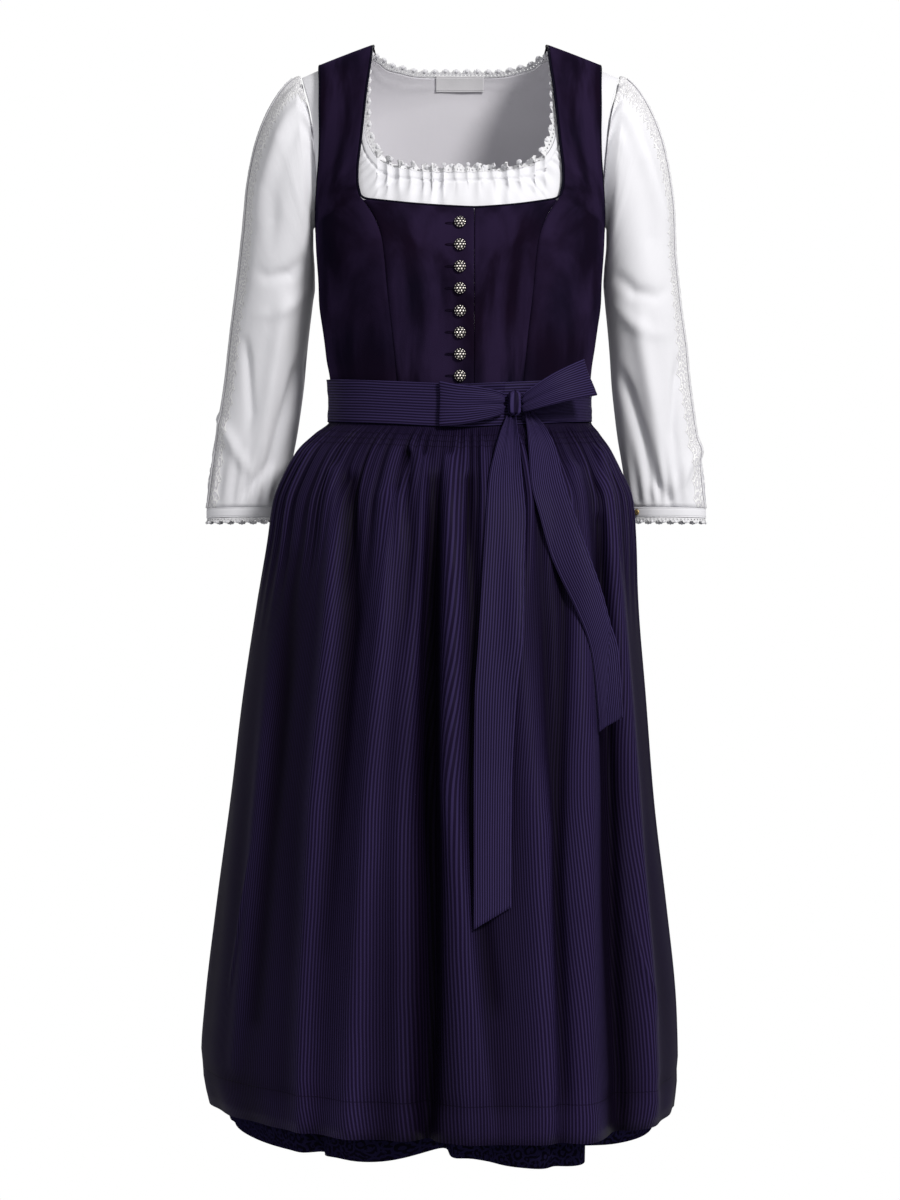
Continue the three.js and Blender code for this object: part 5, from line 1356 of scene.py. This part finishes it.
# softer folds between the main ones, as lines of (x, z, strength), with their width and rise
APRON_FOLDS = [
    ([(-132, -470, 0.4), (-134, -620, 1), (-148, -800, 0.8), (-160, -1010, 0.6), (-162, -1147, 0.5)], 9, 3.0),
    ([(-115, -480, 1), (-112, -620, 1), (-124, -780, 0.6), (-140, -960, 0.2)], 10, -3.2),
    ([(-73, -500, 1), (-80, -640, 1), (-94, -820, 0.8), (-106, -1010, 0.7), (-112, -1140, 0.5)], 10, 3.4),
    ([(-55, -450, 1), (-52, -560, 0.7), (-62, -680, 0)], 5, -3.0),
    ([(-39, -460, 1), (-46, -600, 0.8), (-55, -760, 0.4), (-60, -900, 0)], 8, 3.0),
    ([(-29, -480, 0.6), (-33, -640, 1), (-31, -820, 1), (-28, -1010, 0.8), (-34, -1147, 0.8)], 9, -3.6),
    ([(-12, -460, 1), (-8, -600, 0.9), (-10, -800, 0.8), (12, -1010, 0.6), (30, -1140, 0.4)], 9, 3.4),
    ([(8, -480, 0.8), (14, -620, 0.9), (10, -820, 0.7), (34, -1010, 0.6)], 9, -2.6),
    ([(76, -760, 0), (80, -840, 1), (84, -1000, 0.9), (88, -1130, 0.6)], 12, 2.6),
    ([(100, -500, 0.8), (108, -620, 0.8), (102, -760, 0.8), (98, -900, 0.6), (104, -1100, 0.4)], 8, -3.4),
    ([(118, -470, 0.8), (128, -620, 1), (130, -800, 1), (126, -1010, 0.8), (124, -1140, 0.6)], 13, 3.0),
    ([(146, -520, 0.5), (152, -640, 1), (156, -820, 1), (158, -1010, 1), (162, -1140, 0.8)], 7, -3.6),
    ([(150, -450, 0.6), (164, -600, 1), (178, -800, 1), (192, -1012, 0.9), (196, -1130, 0.6)], 8, 3.0),
    ([(-217, -874, 0.2), (-226, -930, 1), (-241, -1012, 0.3)], 2.2, 1.6),
    ([(168, -911, 0.2), (182, -970, 1), (202, -1042, 0.3)], 2.2, 1.6),
    ([(-176, -560, 0.3), (-186, -700, 1), (-200, -860, 0.8), (-214, -1040, 0.5)], 11, -2.6),
    ([(-196, -620, 0), (-206, -760, 0.8), (-222, -940, 1), (-236, -1090, 0.5)], 10, 2.6),
]


def apron_relief(u, v, place):
    """Fine puckers, soft folds, a slow waviness, the turned hem and side hems, and the hem's own waves."""
    level = apron_level(v)
    x, z = place[..., 0], place[..., 2]
    total = fine_gathers(u, level)
    for line, width, rise in APRON_FOLDS:
        total = total + fold(x, z, line, 0.85 * width, 2.0 * rise)
    fall = smooth_step(-450, -700, level)
    total = total + 0.8 * fall * np.sin(u * 55 + 2.5 * np.sin(level / 130)) * (0.6 + 0.4 * np.sin(level / 90))
    hem = -0.9 * bell(level - (APRON_HEM + 40), 2.2) + 0.3 * smooth_step(APRON_HEM + 38, APRON_HEM + 34, level)
    sides = 0.5 * (smooth_step(0.012, 0.009, u) + smooth_step(0.988, 0.991, u))
    waves = 1.6 * np.sin(u * 61 + 1.0) * smooth_step(APRON_HEM + 60, APRON_HEM, level)
    return total + hem + sides + waves


def apron_painted_light(u, v):
    """Painted light for the apron's threads: from 0 in the troughs, left dark as painted shade, to 1 on the
    crests, given a painted highlight, by how far the cloth stands out of its mean form.
    """
    level = apron_level(v)
    height = gather_rise(u, level) + apron_relief(u, v, apron_surface(u, v))
    return smooth_step(-6, 9, height + 0.6 * ridge_rise(apron_angle(u, level), level))


# The mark carries the apron's painted highlight on its crests and painted shade in its troughs.
sew("ribbed_apron", apron_surface, (0.8, 2.0), (364, 100), ["apron_panel"], APRON_CLOTH,
    lambda u, v: (u * APRON_WIDTH, BAND_BOTTOM - apron_level(v)), apron_relief, cut=(0.86, 0.74),
    shaped=False, marks={"painted_crest_light": apron_painted_light})

# ---------------------------------------------------------------- waistband, ties and bow

LAYERS = ((1.3, 2.3), (3.0, 4.0))
RIBBON_WIDTH = 46
TIE_WALL, BOW_WALL = (-0.5, 0.5), (-0.4, 0.4)


def waist_strip(name, node_name, start, end, columns, layer_at, top_at, bottom_at, relief, cut):
    """A strip round the waist from one angle to another, on a layer from 0 to 1 and between two levels."""
    def surface(u, v):
        angle = mix(start, end, u)
        share = layer_at(angle)
        middle = mix(sum(LAYERS[0]) / 2, sum(LAYERS[1]) / 2, share)
        return drape_point(angle, mix(top_at(angle), bottom_at(angle), v), middle)

    return sew(name, surface, TIE_WALL, (columns, 16), [node_name], RIBBON,
               lambda u, v: (v * RIBBON_WIDTH, u * 700), relief,
               cut=cut, shaped=False)


def always(value):
    return lambda angle: value + 0 * angle


def band_relief(u, v, place):
    """Soft lengthwise creases of a sash drawn round the waist, and a stitched line near each edge."""
    crease = 0.35 * np.sin(v * 11 + 3 * np.sin(u * 9)) + 0.2 * np.sin(v * 23 + 5 * np.sin(u * 17))
    return crease - 0.3 * (bell(v - 0.06, 0.012) + bell(v - 0.94, 0.012))


waist_strip("sash_front", "apron_waistband", -96, 72, 130, always(0), always(BAND_TOP), always(BAND_BOTTOM),
            band_relief, (0.36, 0.046))


def gathered_relief(at_u, reach):
    """Creases that run together towards the knot."""
    def relief(u, v, place):
        near = smooth_step(reach, 0, np.abs(u - at_u))
        return 0.9 * near * np.sin(v * 17 + 1.2) + 0.45 * near * np.sin(v * 31) + band_relief(u, v, place) * 0.6

    return relief


waist_strip("tie_round_right", "apron_tie_right", -96.3, -336, 150, lambda a: smooth_step(-264, -280, a),
            lambda a: BAND_TOP - 20 * smooth_step(-250, -285, a) - 6 * smooth_step(-300, -336, a),
            lambda a: BAND_BOTTOM + 4 * smooth_step(-300, -336, a), gathered_relief(1, 0.2), (0.56, 0.044))
waist_strip("tie_round_left", "apron_tie_left", 96, 376, 170, always(1), always(BAND_TOP),
            always(BAND_BOTTOM), gathered_relief(1, 0.06), (0.64, 0.046))

KNOT_ANGLE, KNOT_LEVEL, KNOT_STAND_OFF = np.array(20.0), np.array(-386.0), 9.4
KNOT_SIZE = [7, 6.8, 13]


def knot_surface(u, v):
    """The knot: a boxy ball with folds slanting round it where the tie wraps over."""
    turn = u * 2 * np.pi
    ball = sphere(turn, v * np.pi)
    boxy = np.abs(ball).max(-1) ** -0.45
    wraps = 1 + 0.05 * np.cos(5 * turn + 2 * ball[..., 2]) + 0.03 * np.cos(11 * turn - 3 * ball[..., 2])
    shaped = ball * (boxy * wraps)[..., None] * KNOT_SIZE
    normal = section_normal(KNOT_ANGLE, KNOT_LEVEL)
    heading = np.arctan2(normal[0], -normal[1])
    c, s = np.cos(heading), np.sin(heading)
    x, y, z = (shaped[..., k] for k in range(3))
    return points(c * x - s * y, s * x + c * y, z) + drape_point(KNOT_ANGLE, KNOT_LEVEL, KNOT_STAND_OFF)


u, v = grid(72, 40)
knot_index = np.arange(u.size).reshape(u.shape)
knot = make_object("bow_knot_cloth", knot_surface(u, v).reshape(-1, 3), quads_of(knot_index),
                   lie=points(u * 14, v * 60, 0)[..., :2].reshape(-1, 2) / 1000,
                   corners=quads_of(knot_index).ravel())
dress(merged(knot), ["bow_knot"], *RIBBON)


def out_and_back(u):
    return (1 - np.cos(2 * np.pi * u)) / 2


def ribbon_loop(middle, out, up, half_at_knot, half_at_tip, puff, parting):
    """A loop that leaves the knot, folds at its tip and comes back: the two ways stand apart by the puff."""
    def surface(u, v):
        s = out_and_back(u)
        half = mix(half_at_knot, half_at_tip, s ** 0.7)
        away = -puff * np.sin(2 * np.pi * u) + parting * (2 * u - 1)
        return middle(s) + out(s) * away[..., None] + up(s) * (half * (2 * v - 1))[..., None]

    return surface


def loop_relief(u, v, place):
    """Pleats that fan out from the knot and flatten towards the tip, with a fine hem along both edges."""
    s = out_and_back(u)
    pleats = 1.1 * np.sin(v * 15 + 0.8) * (1 - s) ** 1.4 + 0.5 * np.sin(v * 27 + 2) * (1 - s) ** 2
    return pleats + 0.5 * np.sin(v * 6 + 4 * s) * s - 0.3 * (bell(v - 0.04, 0.01) + bell(v - 0.96, 0.01))


flat_loop = ribbon_loop(lambda s: drape_point(mix(15.4, -6.5, s), KNOT_LEVEL + s, 9.6 + 0 * s),
                        lambda s: section_normal(mix(15.4, -6.5, s), BAND_BOTTOM + 0 * s),
                        lambda s: points(0 * s, 0, 1), 10, 24, 3, 1.4)
sew("bow_loop_right_cloth", flat_loop, BOW_WALL, (96, 24), ["bow_loop_right"], RIBBON,
    lambda u, v: (v * RIBBON_WIDTH, u * 110), loop_relief, outward=to_front, cut=(0.11, 0.046))
standing_loop = ribbon_loop(
    lambda s: points(mix(65.5, 138, s), mix(-105, -92, s) - 6 * np.sin(np.pi * s),
                     mix(-397, -368, s) + 2 * np.sin(np.pi * s)),
    lambda s: points(0.2 + 0 * s, -0.98, 0), lambda s: unit(points(-0.36 * s, 0, 1)), 8.5, 20.5, 6, 1.6)
sew("bow_loop_left_cloth", standing_loop, BOW_WALL, (96, 24), ["bow_loop_left"], RIBBON,
    lambda u, v: (v * RIBBON_WIDTH, u * 170), loop_relief, outward=to_front, cut=(0.18, 0.046))


def over_apron(x, level, stand_off):
    """A place standing off the front of the apron."""
    right, left, *_, square = drape_at(level)
    half = np.where(x < 0, right, left)
    angle = np.sign(x) * np.degrees(np.arcsin(np.minimum(1, np.abs(x) / half) ** (1 / square)))
    return drape_point(angle, level, np.maximum(0, ridge_rise(angle, level)) + stand_off)


# level, x of the right and left edge, how far each stands off; then level and slant; then the tip's drop
TAILS = {
    "bow_tail_right": ([
        (-399.6, 47.5, 57, 6.5, 7), (-414, 42, 58, 8.5, 9), (-435, 36, 60, 8, 8.5), (-468, 29, 62.5, 7.5, 8),
        (-511, 25.5, 65.5, 7.5, 8), (-553, 23, 63.5, 8, 8.5), (-636, 18, 60, 9, 9), (-697, 14.5, 55, 9, 9),
        (-799, 13.5, 51, 8, 8), (-880, 13.5, 50, 8, 8)], [(-399.6, 0), (-700, 0), (-880, 22)], 52),
    "bow_tail_left": ([
        (-392, 66, 71.5, 5.4, 5.6), (-402, 67, 78, 6.4, 6.8), (-414, 68, 86, 8, 8.5), (-440, 69.5, 97, 8, 9),
        (-471, 71, 102, 8, 12), (-511, 80, 110, 8, 16), (-553, 91, 119, 8, 21), (-607, 110, 131, 9, 28),
        (-660, 126, 140, 10, 34), (-727, 134, 142, 11, 36)], [(-392, 0), (-600, 0), (-727, 16)], 10),
}


def tail_surface(rows, slant, drop):
    """A hanging tail between the two edges of its table, cut slanting at its end."""
    at, slant_at = table(rows), table(slant)
    top, last = rows[0][0], rows[-1][0]

    def surface(u, v):
        level = mix(top, last - drop, v ** 1.15)
        right_x, left_x, right_off, left_off = at(np.maximum(last, level))
        lifted = level + slant_at(level)[0] * u
        return over_apron(mix(right_x, left_x, u), lifted, mix(right_off, left_off, u))

    return surface


def tail_relief(u, v, place):
    """Pleats that leave the knot and die out, a slow sway, and a narrow hem that puckers along one edge."""
    pleats = 1.6 * np.sin(u * 13 + 1) * bell(v, 0.16) + 0.9 * np.sin(u * 7 + 3 * v) * bell(v - 0.1, 0.3)
    sway = 1.2 * np.sin(u * 3 + v * 8) * smooth_step(0.05, 0.4, v)
    hem = 0.4 * smooth_step(0.9, 0.93, u) * np.sin(v * 190)
    return pleats + sway + (hem - 0.5 * (bell(u - 0.9, 0.02) + bell(u - 0.1, 0.02)))


for node_name, (rows, slant, drop) in TAILS.items():
    length = (rows[0][0] - rows[-1][0] + drop) / 1000
    sew(node_name + "_cloth", tail_surface(rows, slant, drop), BOW_WALL, (30, 140), [node_name], RIBBON,
        lambda u, v, n=length: (u * RIBBON_WIDTH, v * n * 1000), tail_relief, outward=to_front,
        cut=(0.042, length * 1.02))

# ---------------------------------------------------------------- floor, light and camera


def area_light(name, place, aim, size, power, tint):
    """A round light that faces the place it aims at."""
    data = bpy.data.lights.new(name, "AREA")
    data.shape, data.size, data.energy, data.color = "DISK", size, power, tint
    light = bpy.data.objects.new(name, data)
    bpy.context.scene.collection.objects.link(light)
    place, aim = np.array(place, float), np.array(aim, float)
    away = unit(place - aim)
    right = unit(np.cross([0, 0, 1.0], away))
    up = np.cross(away, right)
    matrix = np.eye(4)
    matrix[:3, 0], matrix[:3, 1], matrix[:3, 2], matrix[:3, 3] = right, up, away, place
    light.matrix_world = Matrix(matrix.tolist())
    return light


FLOOR_RADIUS, FLOOR_LEVEL = 950, -1500
turn, radius = np.meshgrid(np.linspace(0, 2 * np.pi, 97), np.linspace(0, FLOOR_RADIUS, 5), indexing="ij")
floor_points = points(radius * np.cos(turn), radius * np.sin(turn), FLOOR_LEVEL)
floor = merged(make_object("floor", floor_points.reshape(-1, 3),
                           quads_of(np.arange(turn.size).reshape(turn.shape))))
floor_paint, tree, shader, _, place = material("pale floor", roughness=0.9)
shade = use(tree, unevenness, Place=place, Scale=3.0, Low=0.0, High=1.0)["Value"]
tree.links.new(blend(tree, shade, colour(238, 238, 240), colour(244, 244, 245)), shader.inputs["Base Color"])
floor.data.materials.append(floor_paint)

area_light("key light", (1.5, -2.3, 1.15), (0.0, 0.0, -0.55), 0.75, 74, (1.0, 0.985, 0.97))
area_light("fill light", (-2.2, -2.2, -0.2), (0.0, 0.0, -0.6), 2.0, 4, (0.96, 0.95, 1.0))
area_light("back light", (0.6, 2.4, 0.8), (0.0, 0.0, -0.5), 2.0, 24, (1.0, 1.0, 1.0))

world = bpy.data.worlds.new("soft white room")
bpy.context.scene.world = world
world.use_nodes = True
sky = world.node_tree
seen = node(sky, "LightPath").outputs["Is Camera Ray"]
glow = node(sky, "Background", {"Color": (1, 1, 1, 1), "Strength": to_range(sky, seen, 0.0, 1.0, 0.36, 1.0)})
sky.links.new(glow.outputs[0], sky.nodes["World Output"].inputs["Surface"])

LENS, SENSOR = 76.36, 36
CAMERA_PLACE = (-0.011, -2.8, -0.605)
camera = bpy.data.objects.new("camera", bpy.data.cameras.new("camera"))
camera.data.lens = LENS
camera.data.sensor_width = SENSOR
camera.location = CAMERA_PLACE
camera.rotation_euler = (np.pi / 2, 0, 0)
bpy.context.scene.collection.objects.link(camera)
bpy.context.scene.camera = camera
bpy.context.scene.view_settings.view_transform = "Standard"
